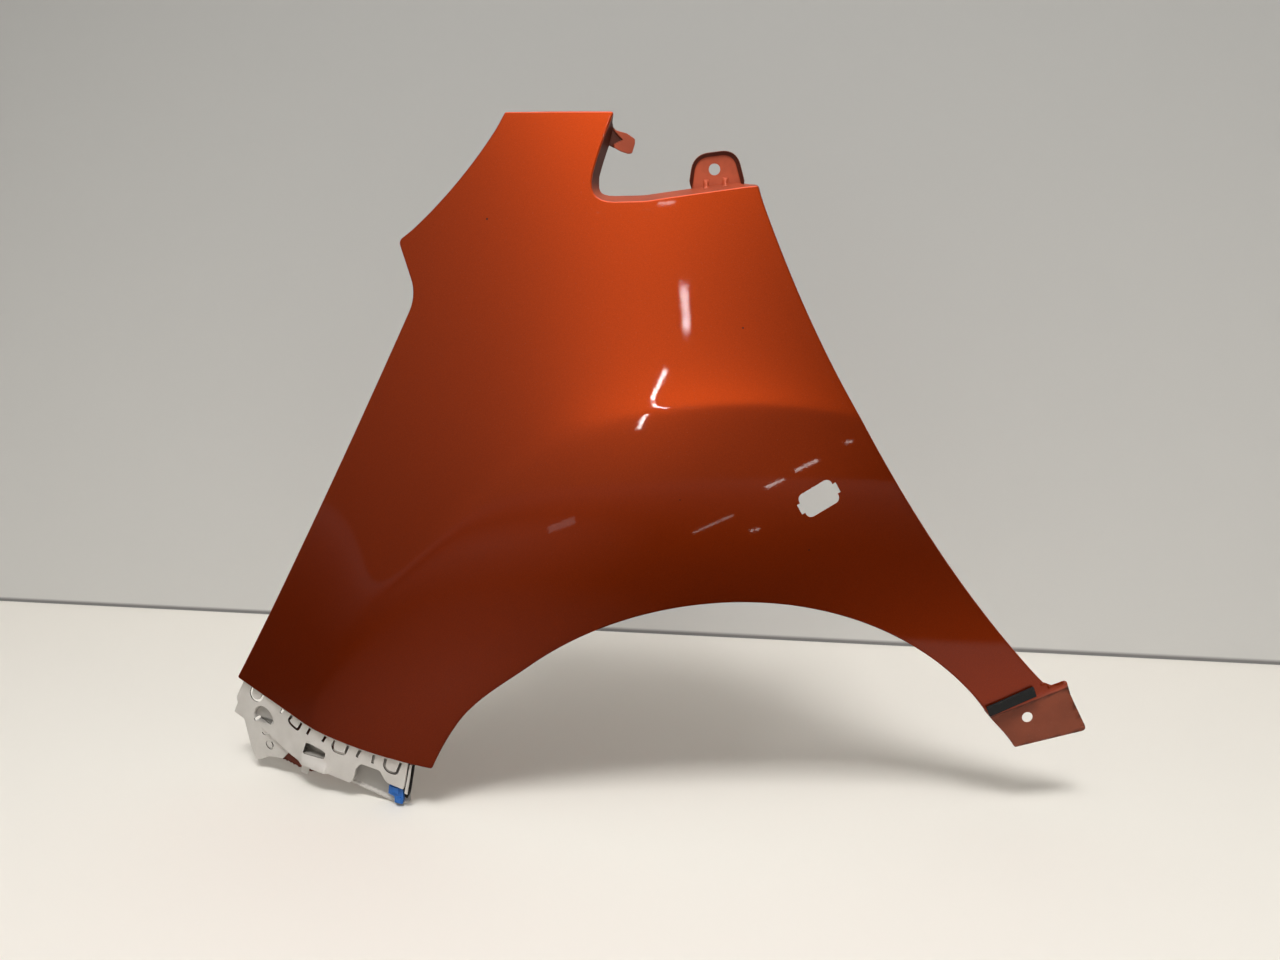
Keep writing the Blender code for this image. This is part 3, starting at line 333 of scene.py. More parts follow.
# How dark the rear wall is painted above its band, as the shade the front wall casts, and where that
# darkening ends
REAR_PAINTED_SHADE = 0.9
REAR_PAINTED_SHADE_EDGE = (-0.0010, 0.0004)
REAR_WALL_CELL = 0.0016
BACKING = ((0.772, 0.0200), (0.848, 0.0200), (0.848, 0.0460), (0.772, 0.0460))
BACKING_SETBACK = (0.014, 0.0152)
RIB_SHARES = (0.8459, 0.6063, 0.4685, 0.3983, 0.2900)
RIB_WIDTH = 0.0018
RIB_BEVEL = 0.0003
RIB_DROPS = (0.003, 0.0150)
FOOT_TAB = ((0.550, 0.0440), (0.594, 0.0440), (0.590, 0.0652), (0.5545, 0.0632))
FOOT_TAB_SETBACK = (0.012, 0.0140)
END_PLATE = ((0.0905, 0.0030), (0.101, 0.0030), (0.119, 0.0390), (0.106, 0.0400))
END_PLATE_SETBACK = (0.006, 0.0210)
NUT_LEGS = (
    ((0.101, 0.0030), (0.107, 0.0030), (0.123, 0.0330), (0.118, 0.0420)),
    ((0.0855, 0.0030), (0.0905, 0.0030), (0.107, 0.0400), (0.101, 0.0420)),
)
NUT_FOOT = ((0.101, 0.0400), (0.120, 0.0400), (0.118, 0.0440), (0.106, 0.0450))
NUT_SETBACK = (0.0075, 0.0190)
CLIP_BODY = (
    (0.133, 0.0345), (0.183, 0.0345), (0.190, 0.0370), (0.190, 0.0460),
    (0.164, 0.0480), (0.160, 0.0555), (0.127, 0.0553), (0.125, 0.0400),
)
CLIP_BODY_SETBACK = (0.010, 0.0195)
CLIP_LATCH = ((0.145, 0.0360), (0.180, 0.0360), (0.180, 0.0430), (0.145, 0.0440))
CLIP_TAIL = ((0.133, 0.0470), (0.153, 0.0475), (0.152, 0.0545), (0.134, 0.0545))
CLIP_DETAIL_SETBACK = (0.0085, 0.0110)
CLIP_BEVEL = 0.0006

# Rounded edges of the plates
PLATE_BEVEL_STEPS = 3
END_PLATE_BEVEL = 0.0004
FOOT_TAB_BEVEL = 0.0005
BACKING_BEVEL = 0.0004
NUT_BEVEL = 0.0002

# Steel strap
STRAP_ENDS = (0.4700, 0.7480)
STRAP_SETBACK = 0.0228
STRAP_LEAF = 0.0150
STRAP_STEEL = 0.0012
STRAP_TOP = -0.0012
STRAP_TOP_CLEARANCE = 0.001
STRAP_BEND = 0.0015
STRAP_CELL = 0.003
# The strap's paint lies between thin paint and the dark brown painted as shade
STRAP_BARE_AND_SHADE = 0.68
STRAP_FOOT = ((0.7000, 0.0735), (0.6070, 0.0680), (0.5450, 0.0628), (0.4700, 0.0540))


def ease(low, high, value):
    """0 below low, 1 above high, and a smooth rise between them."""
    share = np.clip((value - low) / (high - low), 0.0, 1.0)
    return share * share * (3.0 - 2.0 * share)


def roll(distance, radius, slope):
    """How far a sheet falls away, starting with a radius and straightening towards a slope."""
    reach = slope * radius
    return slope * (np.hypot(np.maximum(distance, 0.0), reach) - reach)


def crest_radius(angle):
    drop = ease(CREST_DROP_START, CREST_DROP_END, np.degrees(angle))
    return CREST_RADIUS - CREST_FRONT_DROP * drop


def open_skin_depth(x, z):
    """How far inboard the outer face lies, before the sill tab is folded."""
    radius = np.hypot(x, z)
    angle = np.arctan2(z, x)
    crest = crest_radius(angle)
    softer = ease(*CREASE_SOFT_EASE, np.degrees(angle))
    soft = CREASE_SOFT_REAR + (CREASE_SOFT_FRONT - CREASE_SOFT_REAR) * softer
    above = (radius - crest + np.hypot(radius - crest, soft)) / 2.0
    plan = roll(CROWN_LINE - x, FRONT_ROLL_RADIUS, FRONT_ROLL_SLOPE)
    plan = plan + roll(x - CROWN_LINE, REAR_ROLL_RADIUS, REAR_ROLL_SLOPE)
    lean = roll(z - LEAN_START, LEAN_RADIUS, LEAN_SLOPE)
    flare = FLARE_DEPTH * (1.0 - np.exp(-above / FLARE_REACH))
    crown = (np.minimum(radius, crest) - CROWN_TOP) ** 2 / (2.0 * CROWN_RADIUS)
    return plan + lean + flare + crown


def past_fold(x, z):
    start, end = sill_point(TAB_FOLD_START), sill_point(TAB_FOLD_END)
    run = (end - start) / math.dist(start, end)
    return (x - start[0]) * run[1] - (z - start[1]) * run[0]


def tab_depth():
    middle = (sill_point(TAB_FOLD_START) + sill_point(TAB_FOLD_END)) / 2.0
    return float(open_skin_depth(*middle)) + TAB_STEP


def skin_depth(x, z):
    """How far inboard the outer face of the skin lies."""
    tab = ease(0.0, TAB_FOLD_REACH, past_fold(x, z))
    return open_skin_depth(x, z) * (1.0 - tab) + tab_depth() * tab


def surface_normals(depth, x, z):
    """Outboard unit normals of the surface y = depth(x, z)."""
    slope_x = (depth(x + SLOPE_STEP, z) - depth(x - SLOPE_STEP, z)) / (2.0 * SLOPE_STEP)
    slope_z = (depth(x, z + SLOPE_STEP) - depth(x, z - SLOPE_STEP)) / (2.0 * SLOPE_STEP)
    normals = np.stack((slope_x, -np.ones_like(slope_x), slope_z), axis=-1)
    return normals / np.linalg.norm(normals, axis=-1, keepdims=True)


def bend_point(start, corner, end, share):
    """A point of the curve that leaves start and reaches end, both towards the corner."""
    rest = 1.0 - share
    return rest * rest * start + 2.0 * rest * share * corner + share * share * end


def polar(angle, radius):
    return np.array((math.cos(math.radians(angle)), math.sin(math.radians(angle)))) * radius


def arch_point(share):
    """Point of the wheel arch, from its rear foot at share 0 to its front foot at share 1."""
    angle = ARCH_REAR_ANGLE + share * (ARCH_FRONT_ANGLE - ARCH_REAR_ANGLE)
    front = ease(*ARCH_FRONT_EASE, angle)
    rear = 1.0 - ease(*ARCH_REAR_EASE, angle)
    return polar(angle, ARCH_RADIUS + front * ARCH_FRONT_EXTRA + rear * ARCH_REAR_EXTRA)


def sill_point(offset):
    return arch_point(0.0) + np.array(offset)


def bowed(start, end, bow=0.0):
    """A path from start to end that stands bow to the left of its chord."""
    start = np.array(start)
    chord = np.array(end) - start
    left = np.array((-chord[1], chord[0])) / np.hypot(*chord)
    return lambda share: start + chord * share + left * (4.0 * bow * share * (1.0 - share))


def bumper_point(share):
    return bowed(arch_point(1.0), LOW_FRONT, BUMPER_BOW)(share)


def bumper_frame(share):
    """Point of the bumper edge, its direction towards the front, and its outward normal."""
    along = bumper_point(share + PATH_STEP) - bumper_point(share - PATH_STEP)
    along = along / np.hypot(*along)
    return bumper_point(share), along, np.array((-along[1], along[0]))


def below_edge(place):
    point, _, outward = bumper_frame(place[0])
    return tuple(point + outward * place[1])


def edge_place(x, z):
    """The (share of the bumper edge, drop below it) of points: the inverse of below_edge."""
    start = arch_point(1.0)
    chord = np.array(LOW_FRONT) - start
    length = np.hypot(*chord)
    along = chord / length
    run = ((x - start[0]) * along[0] + (z - start[1]) * along[1]) / length
    out = (z - start[1]) * along[0] - (x - start[0]) * along[1]
    share, drop = run, out
    for _ in range(EDGE_ROUNDS):
        slope = 4.0 * BUMPER_BOW * (1.0 - 2.0 * share) / length
        norm = np.hypot(1.0, slope)
        drop = (out - 4.0 * BUMPER_BOW * share * (1.0 - share)) * norm
        share = run + slope * drop / (norm * length)
    return share, drop


def panel_edges():
    """The edges in clockwise order: start corner, fillet, flange at the corner, path, flanges."""
    small, lip = (CORNER_FLANGE, 0.0), (ARCH_LIP, 0.0)
    headlight = (HEADLIGHT_FLANGE, HEADLIGHT_LEAN)
    hood = (HOOD_FLANGE, HOOD_LEAN, HOOD_LEAF, HOOD_LEAF_LEAN)
    notch = (NOTCH_FLANGE, NOTCH_LEAN)
    ledge = (NOTCH_FLANGE, LEDGE_LEAN)
    sill_tab = (
        (DOOR_FOOT, SHARP),
        (EAR_START, SHARP),
        (EAR_TOP, EAR_FILLET),
        (EAR_END, SHARP),
        (TAB_REAR, TAB_FILLET),
    )
    return (
        (LOW_FRONT, SHARP, (HEADLIGHT_FLANGE, 0.0), HEADLIGHT_BOW, headlight),
        (HEADLIGHT_TOP, HEADLIGHT_FILLET, headlight, 0.0, small),
        (HOOD_FRONT, HOOD_FILLET, small, HOOD_BOW, hood),
        (SCREEN_FRONT, SHARP, small, 0.0, (SCREEN_FLANGE, 0.0)),
        (SCREEN_REAR, SHARP, small, NOTCH_BOW, notch),
        (NOTCH_CORNER, NOTCH_FILLET, ledge, 0.0, ledge),
        (LEDGE_KNEE, KNEE_FILLET, ledge, 0.0, ledge),
        (DOOR_TOP, SHARP, (DOOR_FLANGE, DOOR_TOP_LEAN), DOOR_BOW, (DOOR_FLANGE, DOOR_LEAN)),
        *((sill_point(place), fillet, NO_FLANGE, 0.0, NO_FLANGE) for place, fillet in sill_tab),
        (arch_point(0.0), SHARP, NO_FLANGE, arch_point, lip),
        (arch_point(1.0), SHARP, lip, PANEL_BOW, (BUMPER_FLANGE, 0.0)),
    )


def flange_between(share, length, edge, before, after):
    """The flange at a share of an edge, blended from its corners' flanges."""
    start = ease(0.0, FLANGE_TAPER, share * length)
    end = ease(0.0, FLANGE_TAPER, (1.0 - share) * length)
    blended = []
    for index in range(2):
        value = before[index] + (edge[index] - before[index]) * start
        blended.append(float(after[index] + (value - after[index]) * end))
    if len(edge) > 2 and min(start, end) == 1.0:
        blended += edge[2:]
    return tuple(blended)


def turn_cut(path_in, path_out, radius):
    """How much of both edges a fillet of this radius takes away."""
    come = path_in(1.0) - path_in(1.0 - PATH_STEP)
    leave = path_out(PATH_STEP) - path_out(0.0)
    cosine = np.dot(come, leave) / (np.hypot(*come) * np.hypot(*leave))
    return radius * math.tan(math.acos(max(-1.0, min(1.0, cosine))) / 2.0)


def panel_outline(step):
    """The skin's outline, counter-clockwise seen from outside, as (x, z, flange) points."""
    edges = panel_edges()
    count = len(edges)
    paths = []
    for index, (corner, _, _, bow, _) in enumerate(edges):
        following = edges[(index + 1) % count][0]
        paths.append(bow if callable(bow) else bowed(corner, following, bow))
    cuts = [turn_cut(paths[i - 1], paths[i], edges[i][1]) for i in range(count)]
    points = []
    for index, (corner, radius, corner_flange, _, flange) in enumerate(edges):
        path = paths[index]
        pieces = [path(share) for share in np.linspace(0.0, 1.0, PATH_SAMPLES)]
        length = sum(np.hypot(*(b - a)) for a, b in zip(pieces, pieces[1:]))
        first = cuts[index] / length
        last = 1.0 - cuts[(index + 1) % count] / length
        come = paths[index - 1]
        come_length = np.hypot(*(come(1.0) - come(0.0)))
        fillet_start = come(1.0 - cuts[index] / come_length)
        fillet_end = path(first)
        for share in np.linspace(0.0, 1.0, FILLET_STEPS + 1)[1:-1]:
            place = bend_point(fillet_start, np.array(corner), fillet_end, share)
            points.append((*place, corner_flange))
        steps = max(1, round(length * (last - first) / step))
        after = edges[(index + 1) % count][2]
        for share in np.linspace(first, last, steps + 1):
            blended = flange_between(share, length, flange, corner_flange, after)
            points.append((*path(share), blended))
    return points[::-1]


def turned(centre, points, tilt):
    cosine, sine = polar(tilt, 1.0)
    return [
        (centre[0] + x * cosine - z * sine, centre[1] + x * sine + z * cosine) for x, z in points
    ]


def rounded_box(centre, length, height, radius, tilt, steps=6):
    """Counter-clockwise corners of a rounded rectangle that is tilted in degrees."""
    points = []
    for quarter in range(4):
        side = 1.0 if quarter in (0, 3) else -1.0
        top = 1.0 if quarter in (0, 1) else -1.0
        middle = (side * (length / 2.0 - radius), top * (height / 2.0 - radius))
        for part in range(steps + 1):
            points.append(middle + polar(90.0 * (quarter + part / steps), radius))
    return turned(centre, points, tilt)


def lamp_hole():
    """The side lamp hole: a rounded rectangle with a small ear at both ends."""
    half_length = LAMP_LENGTH / 2.0
    half_ear = LAMP_EAR_HEIGHT / 2.0
    body = rounded_box((0.0, 0.0), LAMP_LENGTH, LAMP_HEIGHT, LAMP_CORNER, 0.0)
    ear = half_length + LAMP_EAR_LENGTH
    rear = [(half_length, -half_ear), (ear, -half_ear), (ear, half_ear), (half_length, half_ear)]
    front = [(-x, -z) for x, z in rear]
    half = len(body) // 2
    return turned(LAMP_CENTRE, body[:half] + front + body[half:] + rear, LAMP_TILT)


def anticlockwise(loop):
    area = sum(a[0] * b[1] - b[0] * a[1] for a, b in zip(loop, (*loop[1:], loop[0])))
    return loop if area > 0.0 else loop[::-1]


def circle(centre, diameter, sides=32):
    return [tuple(centre + polar(360.0 * k / sides, diameter / 2.0)) for k in range(sides)]


def unrolled(x, z):
    """Panel coordinates: distance around the wheel centre, and height above the crest."""
    angle = np.arctan2(z, x)
    return -angle * CREST_RADIUS, np.hypot(x, z) - crest_radius(angle)


def rolled(around, above):
    angle = -around / CREST_RADIUS
    radius = above + crest_radius(angle)
    return radius * np.cos(angle), radius * np.sin(angle)


def same_place(x, z):
    return x, z


def setting_at(setting, x, z):
    """A setting that is one value, or a function of the place."""
    return setting(x, z) if callable(setting) else np.full(np.shape(x), setting)


def inside(loop, u, v):
    """Which of the points (u, v) lie inside a closed loop."""
    hits = np.zeros(u.shape, bool)
    for (u0, v0), (u1, v1) in zip(loop, np.roll(loop, -1, axis=0)):
        if v0 != v1:
            across = u0 + (v - v0) * (u1 - u0) / (v1 - v0)
            hits ^= ((v0 > v) != (v1 > v)) & (u < across)
    return hits


def distance_to(loop, u, v):
    """Distance of the points (u, v) to a closed loop."""
    nearest = np.full(u.shape, np.inf)
    for (u0, v0), (u1, v1) in zip(loop, np.roll(loop, -1, axis=0)):
        run = np.array((u1 - u0, v1 - v0))
        square = max(run @ run, SHORTEST)
        share = np.clip(((u - u0) * run[0] + (v - v0) * run[1]) / square, 0.0, 1.0)
        nearest = np.minimum(nearest, np.hypot(u - u0 - share * run[0], v - v0 - share * run[1]))
    return nearest


def grid_inside(loops, cell, rows=()):
    """Grid points inside the first loop and clear of every loop, with finer rows near v = 0."""
    outer = loops[0]
    low = np.floor(outer.min(axis=0) / cell) * cell
    high = outer.max(axis=0)
    heights = np.arange(low[1], high[1], cell)
    if rows:
        heights = heights[np.abs(heights) > max(rows) + cell / 3.0]
        heights = np.concatenate((heights, rows))
    u, v = np.meshgrid(np.arange(low[0], high[0], cell), heights)
    keep = inside(outer, u, v)
    for loop in loops:
        keep &= distance_to(loop, u, v) > GRID_CLEARANCE * cell
    for loop in loops[1:]:
        keep &= ~inside(loop, u, v)
    return np.column_stack((u[keep], v[keep]))


def triangulated(loops, cell, rows=()):
    """Points and triangles that fill the first loop less the others. The loops' points come first."""
    places = [tuple(p) for loop in loops for p in loop]
    rings = []
    start = 0
    for loop in loops:
        rings.append(list(range(start, start + len(loop))))
        start += len(loop)
    places += [tuple(p) for p in grid_inside(loops, cell, rows)]
    vectors = [Vector(p) for p in places]
    found = delaunay_2d_cdt(vectors, [], rings, INSIDE_LOOPS, MERGE_DISTANCE)
    points, _, faces, _, _, sources = found
    # The first loop is number 0, so a triangle that has another number lies in a hole
    triangles = [corners for corners, numbers in zip(faces, sources) if not any(numbers)]
    return [tuple(p) for p in points], triangles


def unit(vectors):
    return vectors / np.linalg.norm(vectors, axis=-1, keepdims=True)


class Fold:
    """How the edge of a sheet bends into its flanges, at every point of the outline."""

    def __init__(self, outline, depth, bend, inboard):
        xz = np.array([point[:2] for point in outline])
        self.flanges = [point[2] for point in outline]
        self.corner = np.column_stack((xz[:, 0], depth(xz[:, 0], xz[:, 1]), xz[:, 1]))
        self.normal = surface_normals(depth, xz[:, 0], xz[:, 1])
        run = unit(np.roll(xz, -1, axis=0) - np.roll(xz, 1, axis=0))
        side = np.column_stack((run[:, 1], np.zeros(len(xz)), -run[:, 0]))
        edge = unit(np.roll(self.corner, -1, axis=0) - np.roll(self.corner, 1, axis=0))
        out = unit(np.cross(edge, self.normal))
        self.out = out * np.sign(np.sum(out * side, axis=1))[:, None]
        width = np.array([flange[0] for flange in self.flanges])
        lean = np.radians([flange[1] for flange in self.flanges])
        inwards = np.array((0.0, inboard, 0.0))
        self.leaf = side * np.sin(lean)[:, None] + inwards * np.cos(lean)[:, None]
        turn = np.arccos(np.clip(np.sum(self.out * self.leaf, axis=1), -1.0, 1.0))
        self.cut = np.minimum(bend * np.tan(turn / 2.0), LONGEST_BEND * width)
        self.width = width
        self.side = side
        sign = -np.sign(np.sum(self.leaf * self.normal, axis=1))[:, None]
        across = self.out - np.cos(turn)[:, None] * self.leaf
        self.leaf_normal = sign * unit(across)

    def skin_edge(self):
        """The outline of the part of the sheet that the bends leave."""
        return self.corner - self.out * self.cut[:, None]

    def bend_ring(self, share):
        """Points and normals at a share of the way round the bend."""
        end = self.corner + self.leaf * self.cut[:, None]
        points = bend_point(self.skin_edge(), self.corner, end, share)
        return points, unit(self.normal * (1.0 - share) + self.leaf_normal * share)

    def end_ring(self):
        return self.corner + self.leaf * self.width[:, None], self.leaf_normal


def add_ring(bm, layer, points, normals):
    verts = []
    for point, normal in zip(points, normals):
        vert = bm.verts.new(point)
        vert[layer] = normal
        verts.append(vert)
    return verts


def join_rings(bm, ring, following, closed=True):
    """Faces between two rings of points, or between two open rows of them."""
    for index in range(len(ring) if closed else len(ring) - 1):
        after = (index + 1) % len(ring)
        bm.faces.new((ring[after], ring[index], following[index], following[after]))


def finished_mesh(bm, name):
    mesh = bpy.data.meshes.new(name)
    bm.to_mesh(mesh)
    bm.free()
    return mesh


def linked_object(name, data):
    obj = bpy.data.objects.new(name, data)
    bpy.context.scene.collection.objects.link(obj)
    return obj


def hood_leaf(bm, layer, fold, indices, bend):
    """The bolt leaf beyond the hood flange, with rounded ends and two holes."""
    lean = math.radians(HOOD_LEAF_LEAN)
    inwards = np.array((0.0, 1.0, 0.0))
    first = fold.leaf[indices]
    leaf = unit(fold.side[indices] * math.sin(lean) + inwards * math.cos(lean))
    knee = fold.corner[indices] + first * fold.width[indices][:, None]
    turn = np.arccos(np.clip(np.sum(first * leaf, axis=1), -1.0, 1.0))
    cut = bend * np.tan(turn / 2.0)
    normal = fold.leaf_normal[indices]
    inner = leaf - np.cos(turn)[:, None] * first
    leaf_normal = unit(normal * np.cos(turn)[:, None] - unit(inner) * np.sin(turn)[:, None])
    start, end = knee - first * cut[:, None], knee + leaf * cut[:, None]
    rings = []
    for share in np.linspace(0.0, 1.0, BEND_STEPS + 1):
        normals = unit(normal * (1.0 - share) + leaf_normal * share)
        rings.append(add_ring(bm, layer, bend_point(start, knee, end, share), normals))
    for ring, following in zip(rings, rings[1:]):
        join_rings(bm, ring, following, closed=False)

    steps = np.linalg.norm(np.diff(knee, axis=0), axis=1)
    lengths = np.concatenate(([0.0], np.cumsum(steps)))
    whole = lengths[-1]
    foot = list(zip(lengths, cut))
    box = rounded_box((whole / 2.0, HOOD_LEAF / 2.0), whole, HOOD_LEAF, LEAF_CORNER, 0.0)
    top = [p for p in box if p[1] > HOOD_LEAF / 2.0]
    holes = []
    for share in HOOD_BOLT_PLACES:
        middle = ((1.0 - share) * whole, HOOD_BOLT_ACROSS * HOOD_LEAF)
        holes.append(np.array(circle(middle, HOOD_BOLT)))
    places, triangles = triangulated([np.array(foot + top), *holes], CELL)

    def at(values, length):
        return np.array([np.interp(length, lengths, values[:, k]) for k in range(3)])

    verts = []
    for length, across in places:
        vert = bm.verts.new(at(knee, length) + at(leaf, length) * across)
        vert[layer] = unit(at(leaf_normal, length))
        verts.append(vert)
    for corners in triangles:
        face = bm.faces.new([verts[index] for index in corners])
        face.normal_update()
        if face.normal.dot(Vector(verts[corners[0]][layer])) < 0.0:
            face.normal_flip()
    return rings[0]


def folded_sheet(
    name,
    outline,
    depth,
    cell,
    bend,
    thickness,
    holes=(),
    inboard=1.0,
    bare_and_shade=0.0,
    fold_bare_and_shade=FLANGE_BARE,
    to_plane=same_place,
    from_plane=same_place,
    rows=(),
):
    """A closed sheet with rounded folds: the outline's points name their flanges.

    How thin the paint is, its grime and its painted shade, on its face and on its flanges, follow the two
    settings for them.
    """
    fold = Fold(outline, depth, bend, inboard)
    skin_edge = fold.skin_edge()[:, (0, 2)]
    holes = [anticlockwise(loop) for loop in holes]
    loops = [np.array([to_plane(*p[:2]) for p in loop]) for loop in (skin_edge, *holes)]
    places, triangles = triangulated(loops, cell, rows)
    bm = bmesh.new()
    layer = bm.verts.layers.float_vector.new("outer")
    bare_layer = bm.verts.layers.float.new("bare_and_shade")
    hole_layer = bm.verts.layers.float.new("hole")
    x, z = from_plane(*np.array(places).T)
    points = np.column_stack((x, depth(x, z), z))
    skin = add_ring(bm, layer, points, surface_normals(depth, x, z))
    for vert, share in zip(skin, setting_at(bare_and_shade, x, z)):
        vert[bare_layer] = share
    for corners in triangles:
        bm.faces.new([skin[index] for index in corners])
    ring = skin[: len(outline)]
    for vert in skin[len(outline) : sum(len(loop) for loop in loops)]:
        vert[hole_layer] = 1.0
    first = [vert[bare_layer] for vert in ring]
    last = setting_at(fold_bare_and_shade, *fold.corner[:, (0, 2)].T)
    for share in np.linspace(0.0, 1.0, BEND_STEPS + 1)[1:]:
        following = add_ring(bm, layer, *fold.bend_ring(share))
        for vert, low, high in zip(following, first, last):
            vert[bare_layer] = low + max(0.0, high - low) * ease(*BARE_ROUND_BEND, share)
        join_rings(bm, ring, following)
        ring = following
    end = add_ring(bm, layer, *fold.end_ring())
    for vert, low, high in zip(end, first, last):
        vert[bare_layer] = max(low, high)
    leaf_points = [i for i, flange in enumerate(fold.flanges) if len(flange) > 2]
    if leaf_points:
        start = hood_leaf(bm, layer, fold, np.array(leaf_points), LEAF_BEND)
        for index, vert in zip(leaf_points, start):
            bm.verts.remove(end[index])
            end[index] = vert
    join_rings(bm, ring, end)
    bmesh.ops.remove_doubles(bm, verts=bm.verts, dist=WELD)
    return closed_sheet(bm, name, thickness)


def closed_sheet(bm, name, thickness):
    """Gives an open sheet its second face and its rim, with the sheet's own smooth normals."""
    layer = bm.verts.layers.float_vector["outer"]
    bare_and_shade = bm.verts.layers.float["bare_and_shade"]
    hole = bm.verts.layers.float["hole"]
    outer = list(bm.verts)
    bm.verts.index_update()
    inner = []
    for vert in outer:
        twin = bm.verts.new(vert.co - vert[layer].normalized() * thickness)
        twin[layer] = -vert[layer]
        twin[bare_and_shade] = 1.0
        twin[hole] = vert[hole]
        inner.append(twin)
    faces = list(bm.faces)
    rim_edges = [edge for edge in bm.edges if edge.is_boundary]
    rims = []
    for edge in rim_edges:
        loop = edge.link_loops[0]
        a, b = loop.vert, loop.link_loop_next.vert
        rims.append((b, a, inner[a.index], inner[b.index]))
    for face in faces:
        bm.faces.new([inner[vert.index] for vert in reversed(face.verts)])
    count = len(bm.faces)
    for corners in rims:
        bm.faces.new(corners)
    bm.normal_update()
    mesh = finished_mesh(bm, name)
    normals = np.zeros(len(mesh.vertices) * 3)
    mesh.attributes["outer"].data.foreach_get("vector", normals)
    normals = unit(normals.reshape(-1, 3))
    corner_normals = []
    holes = np.zeros(len(mesh.vertices))
    mesh.attributes["hole"].data.foreach_get("value", holes)
    cuts = mesh.attributes.new("cut", "FLOAT", "FACE")
    for polygon in mesh.polygons:
        rim = polygon.index >= count
        if rim and min(holes[vertex] for vertex in polygon.vertices) > 0.0:
            cuts.data[polygon.index].value = 1.0
        for vertex in polygon.vertices:
            corner_normals.append(polygon.normal if rim else normals[vertex])
    mesh.shade_smooth()
    mesh.normals_split_custom_set([tuple(normal) for normal in corner_normals])
    mesh.attributes.remove(mesh.attributes["outer"])
    mesh.attributes.remove(mesh.attributes["hole"])
    return in_place(mesh, name)


def in_place(mesh, name):
    """An object of a mesh that was laid out around the wheel centre."""
    mesh.transform(Matrix.Translation(WHEEL_CENTRE))
    return linked_object(name, mesh)


def lofted(name, rows, thickness):
    """A bent sheet through rows of points, thickened away from its modelled face."""
    bm = bmesh.new()
    lines = [[bm.verts.new(point) for point in row] for row in rows]
    for line, following in zip(lines, lines[1:]):
        for index in range(len(line) - 1):
            bm.faces.new((line[index], line[index + 1], following[index + 1], following[index]))
    mesh = finished_mesh(bm, name)
    mesh.shade_smooth()
    sheet = in_place(mesh, name)
    wall = sheet.modifiers.new("wall", "SOLIDIFY")
    wall.thickness = thickness
    wall.offset = -1.0
    wall.use_even_offset = True
    apply_modifiers(sheet)
    return sheet


def apply_modifiers(obj):
    graph = bpy.context.evaluated_depsgraph_get()
    mesh = bpy.data.meshes.new_from_object(obj.evaluated_get(graph))
    obj.modifiers.clear()
    old = obj.data
    obj.data = mesh
    bpy.data.meshes.remove(old)
    mesh.name = obj.name


def skin_bare(x, z):
    """How bare the paint is: only a thin coat on the sill tab."""
    return TAB_BARE * ease(0.0, TAB_FOLD_REACH, past_fold(x, z))


def flange_bare_and_shade(x, z):
    """Thin paint on the flanges, and dark brown painted as shade on the notch's upright side."""
    front, rear = UPRIGHT_SPAN
    upright = ease(*UPRIGHT_RISE, z) * (x > front) * (x < rear)
    return FLANGE_BARE + (SHADE_PAINTED_FOLD - FLANGE_BARE) * upright


def fender_skin():
    """The pressing itself, from the outline to the bolt leaf."""
    return folded_sheet(
        "fender_skin",
        panel_outline(EDGE_STEP),
        skin_depth,
        CELL,
        SKIN_BEND,
        STEEL,
        holes=[lamp_hole(), circle(sill_point(TAB_HOLE_CENTRE), TAB_HOLE)],
        bare_and_shade=skin_bare,
        fold_bare_and_shade=flange_bare_and_shade,
        to_plane=unrolled,
        from_plane=rolled,
        rows=CREASE_ROWS,
    )


def ledge_height(x):
    """Height of the ledge's edge, between its knee and the top of the door edge."""
    share = (x - LEDGE_KNEE[0]) / (DOOR_TOP[0] - LEDGE_KNEE[0])
    return LEDGE_KNEE[1] + share * (DOOR_TOP[1] - LEDGE_KNEE[1])


def upper_tab_middle():
    x = (UPPER_TAB_FRONT + UPPER_TAB_REAR) / 2.0
    return x, ledge_height(x) + UPPER_TAB_RISE


def upper_tab_depth():
    return float(skin_depth(*upper_tab_middle())) + UPPER_TAB_SETBACK


